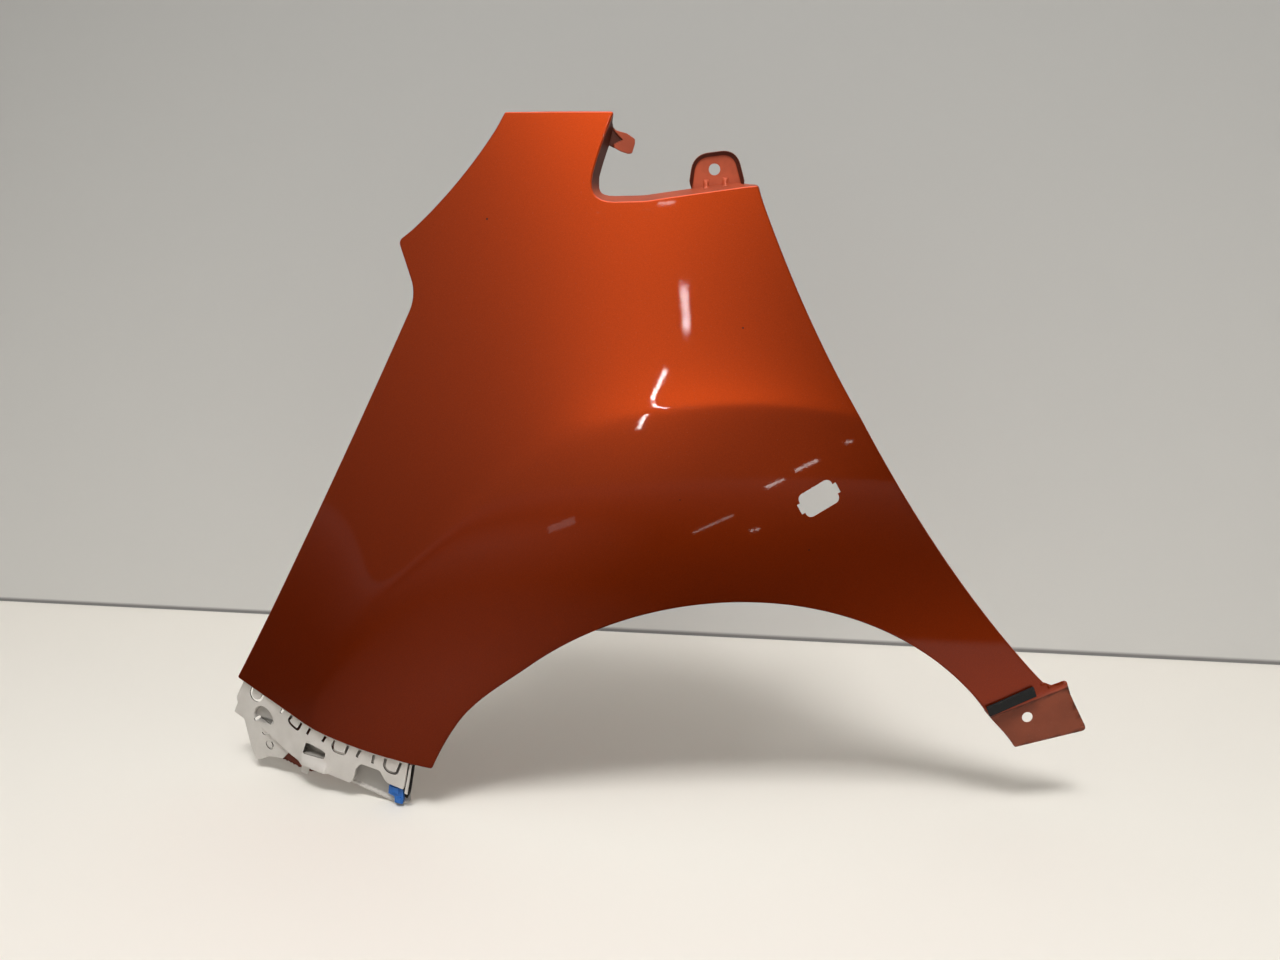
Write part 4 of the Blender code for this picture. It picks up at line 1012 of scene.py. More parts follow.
def upper_tab():
    """The tray-shaped tab above the door end of the ledge, with a rim folded outwards."""
    foot = upper_tab_middle()[1]
    top = foot + UPPER_TAB_HEIGHT
    low, high = UPPER_TAB_RIM_RISE

    def rim(z):
        return (float(UPPER_TAB_RIM * ease(foot + low, foot + high, z)), UPPER_TAB_RIM_LEAN)

    first, last = np.array((UPPER_TAB_REAR, foot)), np.array((UPPER_TAB_FRONT, foot))
    shoulders = np.array(
        (
            (UPPER_TAB_REAR - UPPER_TAB_SHOULDER, top),
            (UPPER_TAB_FRONT + UPPER_TAB_SLANT, top - UPPER_TAB_SLANT),
        )
    )
    line = []
    for before, corner, after in zip((first, shoulders[0]), shoulders, (shoulders[1], last)):
        start, end = (
            corner + (other - corner) / math.dist(other, corner) * UPPER_TAB_FILLET
            for other in (before, after)
        )
        for share in np.linspace(0.0, 1.0, UPPER_TAB_FILLET_STEPS + 1):
            line.append(bend_point(start, corner, end, share))
    side_shares = np.linspace(0.0, 1.0, UPPER_TAB_SIDE_STEPS + 1)[1:-1]
    rise = [first + (line[0] - first) * share for share in side_shares]
    fall = [line[-1] + (last - line[-1]) * share for share in side_shares]
    outline = [(*last, NO_FLANGE), (*first, NO_FLANGE)]
    outline += [(*place, rim(place[1])) for place in (*rise, *line, *fall)]
    depth = upper_tab_depth() - STEEL
    return folded_sheet(
        "upper_tab",
        outline,
        lambda x, z: np.full(np.shape(x), depth),
        UPPER_TAB_CELL,
        UPPER_TAB_BEND,
        STEEL,
        holes=[circle(np.add(upper_tab_middle(), UPPER_TAB_HOLE_PLACE), UPPER_TAB_HOLE)],
        inboard=-1.0,
        # The rim is painted dark brown as shade
        fold_bare_and_shade=SHADE_PAINTED_FOLD,
    )


def finger_tab():
    """The finger that grows out of the notch flange: a neck with a bead, painted dark as shade, and a
    lighter flat end.
    """
    base = float(skin_depth(*FINGER_ROOT)) + FINGER_SETBACK

    def past_neck(x, z):
        middle = FINGER_BEAD[1] - FINGER_FALL * (x - FINGER_BEAD[0])
        past_bead = x - FINGER_BEAD[0] + FINGER_BEAD_OPENING * np.abs(z - middle)
        return ease(0.0, FINGER_STEP_REACH, np.minimum(past_bead, x - FINGER_NECK))

    return folded_sheet(
        "finger_tab",
        edged(subdivided(softened(FINGER_LINE, FINGER_CORNER), FINGER_EDGE_STEP), FINGER_RIM),
        lambda x, z: base - FINGER_STEP * past_neck(x, z),
        FINGER_CELL,
        FINGER_BEND,
        STEEL,
        # Dark brown painted as shade in the neck, less of it on the flat end
        bare_and_shade=lambda x, z: SHADE_PAINTED_FOLD - FINGER_END_LESS_SHADE * past_neck(x, z),
    )


def tab_bead(x):
    """A small bead that stiffens the corner between the upper tab and the ledge flange."""
    edge = ledge_height(x)
    plate = upper_tab_depth() - STEEL
    lean = math.radians(LEDGE_LEAN)
    corner = np.array((plate, edge + (plate - float(skin_depth(x, edge))) * math.tan(lean)))
    top = corner + np.array((0.0, BEAD_REACH))
    foot = corner - np.array((math.cos(lean), math.sin(lean))) * BEAD_REACH
    rows = []
    for across in np.linspace(-1.0, 1.0, BEAD_STEPS):
        raised = (1.0 - across * across) ** BEAD_ROUNDNESS
        row = []
        for share in np.linspace(0.0, 1.0, BEAD_STEPS):
            low = top + (corner - top) * min(1.0, 2.0 * share)
            low = low + (foot - corner) * max(0.0, 2.0 * share - 1.0)
            high = top + (foot - top) * share
            y, z = low + (high - low) * raised
            row.append((x + across * BEAD_WIDTH / 2.0, y, z))
        rows.append(row)
    return lofted("tab_bead", rows, STEEL / 2.0)


def foam_strip():
    """Foam strip stuck on the skin just above the fold of the sill tab."""
    start, end = sill_point(TAB_FOLD_START), sill_point(TAB_FOLD_END)
    run = end - start
    up = np.array((-run[1], run[0])) / np.hypot(*run)
    middle = (start + end) / 2.0 + up * (FOAM_WIDTH / 2.0)
    tilt = math.degrees(math.atan2(run[1], run[0]))
    face = -(GAP + FOAM_THICKNESS)
    return folded_sheet(
        "foam",
        edged(rounded_box(middle, FOAM_LENGTH, FOAM_WIDTH, FOAM_BEND, tilt), FOAM_SIDE),
        lambda x, z: open_skin_depth(x, z) + face,
        FOAM_CELL,
        FOAM_BEND,
        FOAM_SHELL,
    )


def softened(points, radius, closed=True, steps=4):
    """A line of points with rounded corners."""
    points = [np.array(point, float) for point in points]
    soft = []
    for index, corner in enumerate(points):
        if not closed and index in (0, len(points) - 1):
            soft.append(tuple(corner))
            continue
        before, after = points[index - 1], points[(index + 1) % len(points)]
        ends = []
        for other in (before, after):
            reach = min(radius, SOFTENED_SHARE * math.dist(other, corner))
            ends.append(corner + (other - corner) / math.dist(other, corner) * reach)
        for share in np.linspace(0.0, 1.0, steps + 1):
            soft.append(tuple(bend_point(ends[0], corner, ends[1], share)))
    return soft


def edged(line, width):
    """An outline whose points all have the same upright flange."""
    return [(x, z, (width, 0.0)) for x, z in line]


def subdivided(loop, step):
    """A closed loop with points at most a step apart."""
    points = []
    for point, following in zip(loop, (*loop[1:], loop[0])):
        count = max(1, math.ceil(math.dist(point[:2], following[:2]) / step))
        for part in range(count):
            place = np.array(point[:2]) + (np.array(following[:2]) - point[:2]) * part / count
            points.append((*place, *point[2:]))
    return points


def slot(places, width):
    """A slot of a width along a line of (share, drop) places, as a closed loop."""
    line = np.array(softened(points_below(places), SLOT_TURN, closed=False))
    run = unit(np.gradient(line, axis=0))
    side = np.column_stack((-run[:, 1], run[:, 0])) * (width / 2.0)
    return [tuple(point) for point in (*(line + side), *(line - side)[::-1])]


def ring_slot():
    """The round slot, open at its top, in the bracket's wing."""
    middle = np.array(below_edge(RING_PLACE))
    outer, inner = RING_RADIUS + RING_GROOVE / 2.0, RING_RADIUS - RING_GROOVE / 2.0
    angles = np.linspace(*RING_SPAN, RING_STEPS)
    far = [tuple(middle + polar(-angle, outer)) for angle in angles]
    near = [tuple(middle + polar(-angle, inner)) for angle in angles[::-1]]
    return far + near


def below_line(line, share, drop):
    """How far below a line between two (share, drop) places."""
    (share0, drop0), (share1, drop1) = line
    return drop - drop0 - (share - share0) * (drop1 - drop0) / (share1 - share0)


def dish_share(share, drop):
    """1 in the dish of the bracket's front wall and 0 outside it."""
    length = math.dist(arch_point(1.0), LOW_FRONT)
    across = (share - DISH_CENTRE[0]) * length / DISH_RADII[0]
    dish = ease(0.0, DISH_WALL, 1.0 - across**2 - ((drop - DISH_CENTRE[1]) / DISH_RADII[1]) ** 2)
    slot_line = (DISH_SLOT[0], DISH_SLOT[2])
    past_slot = ease(-DISH_SLOT_EDGE, DISH_SLOT_EDGE, below_line(slot_line, share, drop))
    return dish * (1.0 - past_slot)


# Painted shade that darkens the hollow of the front wall's dish
def bracket_painted_shade(x, z):
    return DISH_PAINTED_SHADE * dish_share(*edge_place(x, z))


def bracket_depth(x, z):
    """Outer face of the bracket's front wall, with its wing, dish and ledge."""
    share, drop = edge_place(x, z)
    wing = ease(0.0, WING_STEP, below_line(WING_LINE, share, drop)) * (1.0 - ease(*WING_FADE, share))
    level = WALL_SETBACK + WING_SETBACK * wing * ease(*WING_START, share)
    ledge = ease(*LEDGE_SHARES[:2], share) * (1.0 - ease(*LEDGE_SHARES[2:], share))
    level = level - LEDGE_PROUD * ledge * ease(*LEDGE_DROPS, drop)
    return open_skin_depth(x, z) + level + DISH_DEPTH * dish_share(share, drop)


def points_below(places):
    return [below_edge(place) for place in places]


def above_drop(outline, drop):
    """An outline up to its last point that lies lower than a drop below the bumper edge."""
    last = max(i for i, point in enumerate(outline) if edge_place(*point[:2])[1] > drop)
    return outline[: last + 1]


def bracket_wall():
    """Front wall of the bracket, with its top leaf, folded edges, slots and window."""
    leaf, fold, recess = (LEAF_DEPTH, 0.0), (EDGE_FOLD, 0.0), (RECESS_FOLD, 0.0)
    top = []
    for share in np.linspace(*BRACKET_ENDS, BRACKET_TOP_STEPS):
        drop = BRACKET_TOP - 4.0 * BRACKET_TOP_BOW * share * (1.0 - share)
        top.append((*below_edge((share, drop)), leaf))
    rest = (*WALL_FRONT_END, *WALL_FOOT, *WALL_RECESS, *WALL_REAR_FOOT, *WALL_REAR_END)
    line = [top[-1][:2], *points_below(rest), top[0][:2]]
    edge = []
    low, high = RECESS_SHARES
    for x, z in subdivided(softened(line, CORNER_SOFTNESS, closed=False), BRACKET_STEP)[1:]:
        share, drop = edge_place(x, z)
        edge.append((x, z, recess if low < share < high and drop < RECESS_DROP else fold))
    holes = [slot(places, SLOT_WIDTH) for places in (*TONGUES, *SHORT_SLOTS, DISH_SLOT)]
    holes += [slot(SMALL_GROOVE, GROOVE_WIDTH), ring_slot()]
    holes.append(softened(points_below(WINDOW), WINDOW_CORNER))
    return folded_sheet(
        "bracket_wall",
        top + above_drop(edge, BRACKET_TOP + BRACKET_TOP_CLEARANCE),
        bracket_depth,
        BRACKET_CELL,
        PLASTIC_BEND,
        PLASTIC,
        holes=holes,
        bare_and_shade=bracket_painted_shade,
        fold_bare_and_shade=0.0,
    )


def window_pocket():
    """The shallow box behind the bracket's window, with its walls painted darker as shade."""
    corners = np.array(points_below(WINDOW))
    middle = corners.mean(axis=0)
    grown = []
    for corner in corners:
        growth = 1.0 + POCKET_MARGIN / math.dist(corner, middle)
        grown.append(middle + (corner - middle) * growth)
    loop = subdivided(softened(grown, WINDOW_CORNER), BRACKET_STEP)
    back = WALL_SETBACK + POCKET_DEPTH
    return folded_sheet(
        "bracket_pocket",
        edged(loop, POCKET_DEPTH - PLASTIC),
        lambda x, z: open_skin_depth(x, z) + back,
        POCKET_CELL,
        PLASTIC_BEND,
        PLASTIC,
        inboard=-1.0,
        fold_bare_and_shade=POCKET_PAINTED_SHADE,
    )


def rear_wall():
    """The wall behind the bracket's recess, with a thicker band along its foot, and painted shade that
    darkens it above the band.
    """
    top = [below_edge((share, REAR_WALL_TOP)) for share in np.linspace(*REAR_WALL_ENDS, TOP_EDGE_STEPS)]
    loop = subdivided(softened(top + points_below(REAR_WALL_FOOT), CORNER_SOFTNESS), BRACKET_STEP)

    def depth(x, z):
        band = ease(*REAR_BAND_STEP, below_line(REAR_BAND, *edge_place(x, z)))
        return open_skin_depth(x, z) + REAR_WALL_SETBACK - REAR_BAND_PROUD * band

    def upper_shade(x, z):
        on_band = ease(*REAR_PAINTED_SHADE_EDGE, below_line(REAR_BAND, *edge_place(x, z)))
        return REAR_PAINTED_SHADE - REAR_PAINTED_SHADE * on_band

    return folded_sheet(
        "bracket_rear_wall",
        edged(loop, EDGE_FOLD),
        depth,
        REAR_WALL_CELL,
        PLASTIC_BEND,
        PLASTIC,
        bare_and_shade=upper_shade,
        fold_bare_and_shade=0.0,
    )


def prism(name, places, setbacks, bevel):
    """A plate between two setbacks behind the skin, with bevelled edges."""
    corners = anticlockwise(points_below(places))
    bm = bmesh.new()
    rings = []
    for setback in setbacks:
        points = [(x, float(open_skin_depth(x, z)) + setback, z) for x, z in corners]
        rings.append([bm.verts.new(point) for point in points])
    bm.faces.new(rings[0])
    bm.faces.new(rings[1][::-1])
    join_rings(bm, *rings)
    bmesh.ops.recalc_face_normals(bm, faces=bm.faces)
    mesh = finished_mesh(bm, name)
    plate = in_place(mesh, name)
    edges = plate.modifiers.new("edges", "BEVEL")
    edges.width = bevel
    edges.segments = PLATE_BEVEL_STEPS
    edges.limit_method = "ANGLE"
    edges.harden_normals = True
    mesh.shade_smooth()
    apply_modifiers(plate)
    return plate


def bracket_ribs():
    length = math.dist(arch_point(1.0), LOW_FRONT)
    half = RIB_WIDTH / 2.0 / length
    ribs = []
    for share in RIB_SHARES:
        low, high = RIB_DROPS
        front, rear = share + half, share - half
        corners = ((rear, low), (front, low), (front, high), (rear, high))
        ribs.append(prism("bracket_rib", corners, (WALL_SETBACK + PLASTIC, LEAF_DEPTH), RIB_BEVEL))
    return ribs


def steel_strap():
    """The strap that lies on the bumper flange and hangs down behind the bracket."""
    top = [below_edge((share, STRAP_TOP)) for share in np.linspace(*STRAP_ENDS, TOP_EDGE_STEPS)]
    line = [top[-1], *points_below(STRAP_FOOT), top[0]]
    outline = edged(top, STRAP_LEAF) + edged(subdivided(line, STRAP_CELL)[1:], 0.0)
    return folded_sheet(
        "strap",
        above_drop(outline, STRAP_TOP + STRAP_TOP_CLEARANCE),
        lambda x, z: open_skin_depth(x, z) + STRAP_SETBACK,
        STRAP_CELL,
        STRAP_BEND,
        STRAP_STEEL,
        inboard=-1.0,
        # Thin paint darkened part way to the painted shade brown
        bare_and_shade=STRAP_BARE_AND_SHADE,
    )


def rgba(colour):
    return (*colour, 1.0)


def wire(tree, made, inputs):
    """Sets a node's inputs to values, or links them to other nodes' outputs."""
    for key, value in inputs.items():
        if isinstance(value, bpy.types.NodeSocket):
            tree.links.new(value, made.inputs[key])
        elif made.inputs[key].type == "RGBA":
            made.inputs[key].default_value = rgba(value)
        else:
            made.inputs[key].default_value = value


def node(tree, kind, inputs=None, **settings):
    """A shader node with its settings and inputs."""
    made = tree.nodes.new(kind)
    for key, value in settings.items():
        setattr(made, key, value)
    wire(tree, made, inputs or {})
    return made


def attribute(tree, name):
    return node(tree, "ShaderNodeAttribute", attribute_name=name).outputs["Fac"]


def math_value(tree, operation, *values):
    made = node(tree, "ShaderNodeMath", dict(enumerate(values)), operation=operation)
    return made.outputs["Value"]


def vector_value(tree, operation, *values):
    made = node(tree, "ShaderNodeVectorMath", dict(enumerate(values)), operation=operation)
    return made.outputs["Value"]


def axis(tree, coords, name):
    return node(tree, "ShaderNodeSeparateXYZ", {"Vector": coords}).outputs[name]


def noise(tree, coords, scale, detail=2.0, roughness=0.5):
    inputs = {"Vector": coords, "Scale": scale, "Detail": detail, "Roughness": roughness}
    return node(tree, "ShaderNodeTexNoise", inputs).outputs["Fac"]


def spread(tree, value, low, high, to_low, to_high):
    """Maps a range of a value onto another, clamped."""
    inputs = {"Value": value, "From Min": low, "From Max": high, "To Min": to_low, "To Max": to_high}
    return node(tree, "ShaderNodeMapRange", inputs).outputs["Result"]


def pattern(tree, coords, grain, levels):
    """Noise of a scale, detail and roughness, spread from two levels onto two others."""
    return spread(tree, noise(tree, coords, *grain), *levels)


# The mix node has a socket of the same name for each kind of value, so these go by number
MIX_FACTOR = 0
MIX_COLOURS = (6, 7)
MIXED_COLOUR = 2


def blend_colour(tree, factor, first, second):
    inputs = {MIX_FACTOR: factor, **dict(zip(MIX_COLOURS, (first, second)))}
    return node(tree, "ShaderNodeMix", inputs, data_type="RGBA").outputs[MIXED_COLOUR]


def bump(tree, height, distance, strength=1.0, normal=None):
    inputs = {"Height": height, "Distance": distance, "Strength": strength}
    if normal is not None:
        inputs["Normal"] = normal
    return node(tree, "ShaderNodeBump", inputs).outputs["Normal"]


def new_material(name):
    material = bpy.data.materials.new(name)
    material.use_nodes = True
    tree = material.node_tree
    coords = tree.nodes.new("ShaderNodeTexCoord").outputs["Object"]
    return material, tree, tree.nodes["Principled BSDF"], coords


# Painted shade on the cut faces of slots, how grime, painted shade and specks darken a plastic, the pale
# edge of the lamp hole, and the paint's colours: the two ends of its flakes, the thin coat on flanges, the
# dark brown painted as shade in deep corners, the inner face, dust and chips
SLOT_SHADE = (0.035, 0.028, 0.022)
GRIME_AND_SHADE = 0.55
SPECK = 0.45
CUT_EDGE = (0.62, 0.50, 0.40)
FLAKE_DARK = (0.64, 0.064, 0.0045)
FLAKE_LIGHT = (0.76, 0.084, 0.0065)
THIN_PAINT = (0.50, 0.085, 0.032)
SHADED_PAINT = (0.090, 0.016, 0.006)
INNER_PAINT = (0.27, 0.062, 0.027)
DUST = (0.60, 0.52, 0.44)
CHIPPED = (0.045, 0.030, 0.024)
# The two ends of each mottled colour of the plastics and the bare metals
GREY_PLASTIC = ((0.55, 0.52, 0.48), (0.62, 0.59, 0.55))
# Darker plastic painted as the shade inside the window's pocket
POCKET_SHADE_PLASTIC = ((0.40, 0.37, 0.33), (0.49, 0.46, 0.42))
BLUE_NYLON = ((0.020, 0.13, 0.46), (0.035, 0.17, 0.54))
BLACK_FOAM = ((0.008, 0.008, 0.009), (0.024, 0.025, 0.024))
DARK_STEEL = ((0.030, 0.026, 0.022), (0.07, 0.06, 0.05))
ZINC = ((0.40, 0.40, 0.39), (0.52, 0.52, 0.50))
# Patterns: the noise's scale, detail and roughness, and how its levels are spread
PAINT_PATCHES = ((40.0, 4.0), (0.35, 0.65, 0.0, 0.25))
PAINT_DUST = ((900.0, 2.0, 0.6), (0.66, 0.74, 0.0, 0.10))
PAINT_SCRATCHES = ((1.0, 2.0, 0.6), (0.70, 0.74, 0.0, 1.0))
SCRATCHED_PATCHES = ((9.0,), (0.50, 0.62, 0.0, 1.0))
THIN_PATCHES = ((60.0, 4.0), (0.35, 0.65, 0.0, 0.3))
PLASTIC_PATCHES = ((45.0, 5.0), (0.3, 0.7, 0.0, 1.0))
PLASTIC_SPECKS = ((420.0, 3.0, 0.7), (0.66, 0.72, 0.0, 0.35))
METAL_PATCHES = ((300.0, 4.0), (0.3, 0.7, 0.0, 1.0))
# Cells and bumps: scale, and distance with strength
FLAKE_SCALE = 1800.0
FOAM_SCALE = 1400.0
FOAM_BUMP = 0.0003
PEEL_SCALE = 450.0
PEEL_BUMP = (0.000014, 1.0)
SCRATCH_BUMP = (-0.00002, 0.5)
GRAIN_SCALE = 2600.0
GRAIN_BUMP = (0.00005, 0.5)
# How the paint changes with how bare it is: between which two shares, and the values there
THIN_COLOUR = (0.15, 0.5, 0.0, 1.0)
THIN_METALLIC = (0.2, 0.5, 0.96, 0.15)
THIN_ROUGHNESS = (0.0, 1.0, 0.46, 0.55)
THIN_COAT = (0.2, 0.6, 1.0, 0.06)
# The colours of the bare paint, each from a share on: thin, dark brown painted as shade, inner face
THIN_STOPS = ((0.55, THIN_PAINT), (0.75, SHADED_PAINT), (0.90, INNER_PAINT))
# How grime and painted shade cover a plastic, and how much rougher the patches make plastics and metals
GRIME_AND_SHADE_SHARE = (0.0, 1.0, 0.0, 0.8)
PLASTIC_ROUGHER = 0.1
METAL_ROUGHER = 0.15
# Chips, as (x, z, radius) from the wheel centre, and the run of the hairline scratches
CHIPS = (
    (0.0035, 0.6148, 0.0011),
    (-0.2539, 0.7236, 0.0013),
    (-0.0589, 0.4493, 0.0007),
    (0.0699, 0.3975, 0.0008),
)
CHIP_CORE = 0.6
SCRATCH_TURN = (0.0, 0.55, 0.0)
SCRATCH_STRETCH = (14.0, 100.0, 1500.0)


def paint_ramp(tree, bare_and_shade):
    """The paint's colour away from the skin: thin, then dark brown painted as shade in folds, then on
    inner faces.
    """
    made = node(tree, "ShaderNodeValToRGB", {"Fac": bare_and_shade})
    elements = made.color_ramp.elements
    elements.new(0.5)
    for element, (place, colour) in zip(elements, THIN_STOPS):
        element.position = place
        element.color = rgba(colour)
    return made.outputs["Color"]


def painted_places(tree, coords, places):
    """1 on small spots of the skin, each given by (x, z, radius), and 0 elsewhere."""
    total = 0.0
    for x, z, radius in places:
        centre = WHEEL_CENTRE + Vector((x, float(skin_depth(x, z)), z))
        away = vector_value(tree, "DISTANCE", coords, centre)
        spot = spread(tree, away, CHIP_CORE * radius, radius, 1.0, 0.0)
        total = math_value(tree, "MAXIMUM", spot, total)
    return total


def metallic_paint():
    """Burnt orange metallic paint under a clear coat, thinner and duller on hidden faces, with dark brown
    painted as shade on the notch's upright flange.
    """
    material, tree, shader, coords = new_material("orange_metallic_paint")
    bare_and_shade = attribute(tree, "bare_and_shade")
    flake = node(tree, "ShaderNodeTexVoronoi", {"Vector": coords, "Scale": FLAKE_SCALE})
    flakes = spread(tree, flake.outputs["Color"], 0.0, 1.0, 0.0, 1.0)
    base = blend_colour(tree, flakes, FLAKE_DARK, FLAKE_LIGHT)
    patch = pattern(tree, coords, *PAINT_PATCHES)
    mottled = blend_colour(tree, patch, paint_ramp(tree, bare_and_shade), SHADED_PAINT)
    colour = blend_colour(tree, spread(tree, bare_and_shade, *THIN_COLOUR), base, mottled)
    colour = blend_colour(tree, pattern(tree, coords, *PAINT_DUST), colour, DUST)
    colour = blend_colour(tree, painted_places(tree, coords, CHIPS), colour, CHIPPED)
    peel = bump(tree, noise(tree, coords, PEEL_SCALE, 1.0), *PEEL_BUMP)
    inputs = {"Vector": coords, "Rotation": SCRATCH_TURN, "Scale": SCRATCH_STRETCH}
    along = node(tree, "ShaderNodeMapping", inputs).outputs["Vector"]
    lines = pattern(tree, along, *PAINT_SCRATCHES)
    scratch = math_value(tree, "MULTIPLY", lines, pattern(tree, coords, *SCRATCHED_PATCHES))
    inputs = {
        "Base Color": blend_colour(tree, attribute(tree, "cut"), colour, CUT_EDGE),
        "Metallic": spread(tree, bare_and_shade, *THIN_METALLIC),
        "Roughness": spread(tree, bare_and_shade, *THIN_ROUGHNESS),
        "Coat Weight": spread(tree, bare_and_shade, *THIN_COAT),
        "Coat Roughness": 0.035,
        "Coat Normal": bump(tree, scratch, *SCRATCH_BUMP, peel),
    }
    wire(tree, shader, inputs)
    return material


def thin_paint():
    """Thin body colour over primer, as on the tabs and the strap, with dark brown painted as shade in
    their folds.
    """
    material, tree, shader, coords = new_material("thin_paint")
    patch = pattern(tree, coords, *THIN_PATCHES)
    colour = blend_colour(tree, patch, paint_ramp(tree, attribute(tree, "bare_and_shade")), SHADED_PAINT)
    inputs = {
        "Base Color": blend_colour(tree, attribute(tree, "cut"), colour, CUT_EDGE),
        "Metallic": 0.15,
        "Roughness": 0.5,
        "Coat Weight": 0.15,
        "Coat Roughness": 0.2,
    }
    wire(tree, shader, inputs)
    return material


def foam_material():
    material, tree, shader, coords = new_material("black_foam_cells")
    foam = node(tree, "ShaderNodeTexVoronoi", {"Vector": coords, "Scale": FOAM_SCALE})
    cells = foam.outputs["Distance"]
    colour = blend_colour(tree, cells, *BLACK_FOAM)
    inputs = {"Base Color": colour, "Roughness": 0.95, "Normal": bump(tree, cells, FOAM_BUMP)}
    wire(tree, shader, inputs)
    return material


def moulded_plastic(name, low, high, roughness):
    """Matt moulded plastic, mottled by dust, darkened by grime and painted shade, with painted shade on
    the cut faces of its slots.
    """
    material, tree, shader, coords = new_material(name)
    patch = pattern(tree, coords, *PLASTIC_PATCHES)
    speck = pattern(tree, coords, *PLASTIC_SPECKS)
    grime_and_shade = spread(tree, attribute(tree, "bare_and_shade"), *GRIME_AND_SHADE_SHARE)
    colour = blend_colour(tree, patch, low, high)
    colour = blend_colour(tree, speck, colour, [SPECK * value for value in low])
    colour = blend_colour(tree, grime_and_shade, colour, [GRIME_AND_SHADE * value for value in low])
    inputs = {
        "Base Color": blend_colour(tree, attribute(tree, "cut"), colour, SLOT_SHADE),
        "Roughness": spread(tree, patch, 0.0, 1.0, roughness, roughness + PLASTIC_ROUGHER),
        "Normal": bump(tree, noise(tree, coords, GRAIN_SCALE, 2.0), *GRAIN_BUMP),
    }
    wire(tree, shader, inputs)
    return material


def metal(name, low, high, roughness):
    material, tree, shader, coords = new_material(name)
    patch = pattern(tree, coords, *METAL_PATCHES)
    inputs = {
        "Base Color": blend_colour(tree, patch, low, high),
        "Metallic": 0.9,
        "Roughness": spread(tree, patch, 0.0, 1.0, roughness, roughness + METAL_ROUGHER),
    }
    wire(tree, shader, inputs)
    return material


def dress(obj, material, slot, *nodes):
    obj.data.materials.clear()
    obj.data.materials.append(material)
    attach(obj, "root")
    if nodes:
        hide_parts(*nodes)


# Floor and wall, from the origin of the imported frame. In reflections the floor glows: a little
# everywhere, more far away and at two spots, and to the right in front of the near edge
WALL_LEFT = (-1.21, 0.749)
WALL_RIGHT = (1.003, 0.413)
WALL_HEIGHT = 4.0
STAGE_REACH = 6.0
FLOOR_COLOUR = (0.88, 0.84, 0.77)
FLOOR_GLOW_COLOUR = (1.0, 0.97, 0.93)
FLOOR_GLOW = 0.015
FLOOR_GLOW_FAR = (1.3, 4.5, 0.0, 0.17)
FLOOR_GLOW_SPOTS = ((-0.38, -0.30, 0.50, 0.16), (-1.00, -1.30, 1.00, 0.16))
FLOOR_GLOW_NEAR = (-0.415, -0.395)
FLOOR_GLOW_RIGHT = (0.2, 0.5, 0.0, 0.33)
# The wall's painted shading: lighter at its foot and darker towards the top, over these heights, and a
# painted shadow line along its foot
WALL_SHADE = ((0.63, 0.62, 0.595), (0.36, 0.355, 0.34))
WALL_SHADE_HEIGHT = (0.0, 1.1)
WALL_FOOT_SHADOW_RISE = (0.004, 0.009)
WALL_FOOT_SHADE = (0.22, 0.215, 0.21)


def stage_plane(name, corners, material):
    mesh = bpy.data.meshes.new(name)
    mesh.from_pydata(corners, [], [tuple(range(len(corners)))])
    obj = linked_object(name, mesh)
    obj.data.materials.append(material)
    return obj


def mixed_shader(tree, factor, first, second):
    """The output of one shader where the factor is 0, and of the other where it is 1."""
    inputs = {"Fac": factor, 1: first.outputs[0], 2: second.outputs[0]}
    return node(tree, "ShaderNodeMixShader", inputs).outputs[0]


def glowing_in_reflections(tree, shader, strength):
    """Swaps a surface for a plain glow where a mirror-like surface sees it."""
    path = tree.nodes.new("ShaderNodeLightPath")
    glow = node(tree, "ShaderNodeEmission", {"Color": FLOOR_GLOW_COLOUR, "Strength": strength})
    return mixed_shader(tree, path.outputs["Is Glossy Ray"], shader, glow)


def floor_material():
    """Pale floor. In reflections it is dim, as in the room of the photograph."""
    material, tree, shader, coords = new_material("pale_floor")
    wire(tree, shader, {"Base Color": FLOOR_COLOUR, "Roughness": 0.6, "Specular IOR Level": 0.2})
    near = spread(tree, axis(tree, coords, "Y"), *FLOOR_GLOW_NEAR, 0.0, 1.0)
    right = spread(tree, axis(tree, coords, "X"), *FLOOR_GLOW_RIGHT)
    glow = math_value(tree, "MULTIPLY_ADD", near, right, FLOOR_GLOW)
    far = spread(tree, vector_value(tree, "LENGTH", coords), *FLOOR_GLOW_FAR)
    glow = math_value(tree, "ADD", glow, far)
    for x, y, reach, strength in FLOOR_GLOW_SPOTS:
        away = vector_value(tree, "DISTANCE", coords, (x, y, 0.0))
        glow = math_value(tree, "ADD", glow, spread(tree, away, 0.0, reach, strength, 0.0))
    surface = glowing_in_reflections(tree, shader, glow)
    wire(tree, tree.nodes["Material Output"], {"Surface": surface})
    return material


def wall_material():
    """Pale grey wall that is clear from behind, so that it hides nothing in other views, with painted
    shading: darker towards the top, and a painted shadow line at its foot.
    """
    material, tree, shader, coords = new_material("pale_wall")
    height = axis(tree, coords, "Z")
    shade = blend_colour(tree, spread(tree, height, *WALL_SHADE_HEIGHT, 0.0, 1.0), *WALL_SHADE)
    above = spread(tree, height, *WALL_FOOT_SHADOW_RISE, 0.0, 1.0)
    colour = blend_colour(tree, above, WALL_FOOT_SHADE, shade)
    wire(tree, shader, {"Base Color": colour, "Roughness": 0.7, "Specular IOR Level": 0.1})
    behind = tree.nodes.new("ShaderNodeNewGeometry").outputs["Backfacing"]
    clear = tree.nodes.new("ShaderNodeBsdfTransparent")
    surface = mixed_shader(tree, behind, shader, clear)
    wire(tree, tree.nodes["Material Output"], {"Surface": surface})
    return material


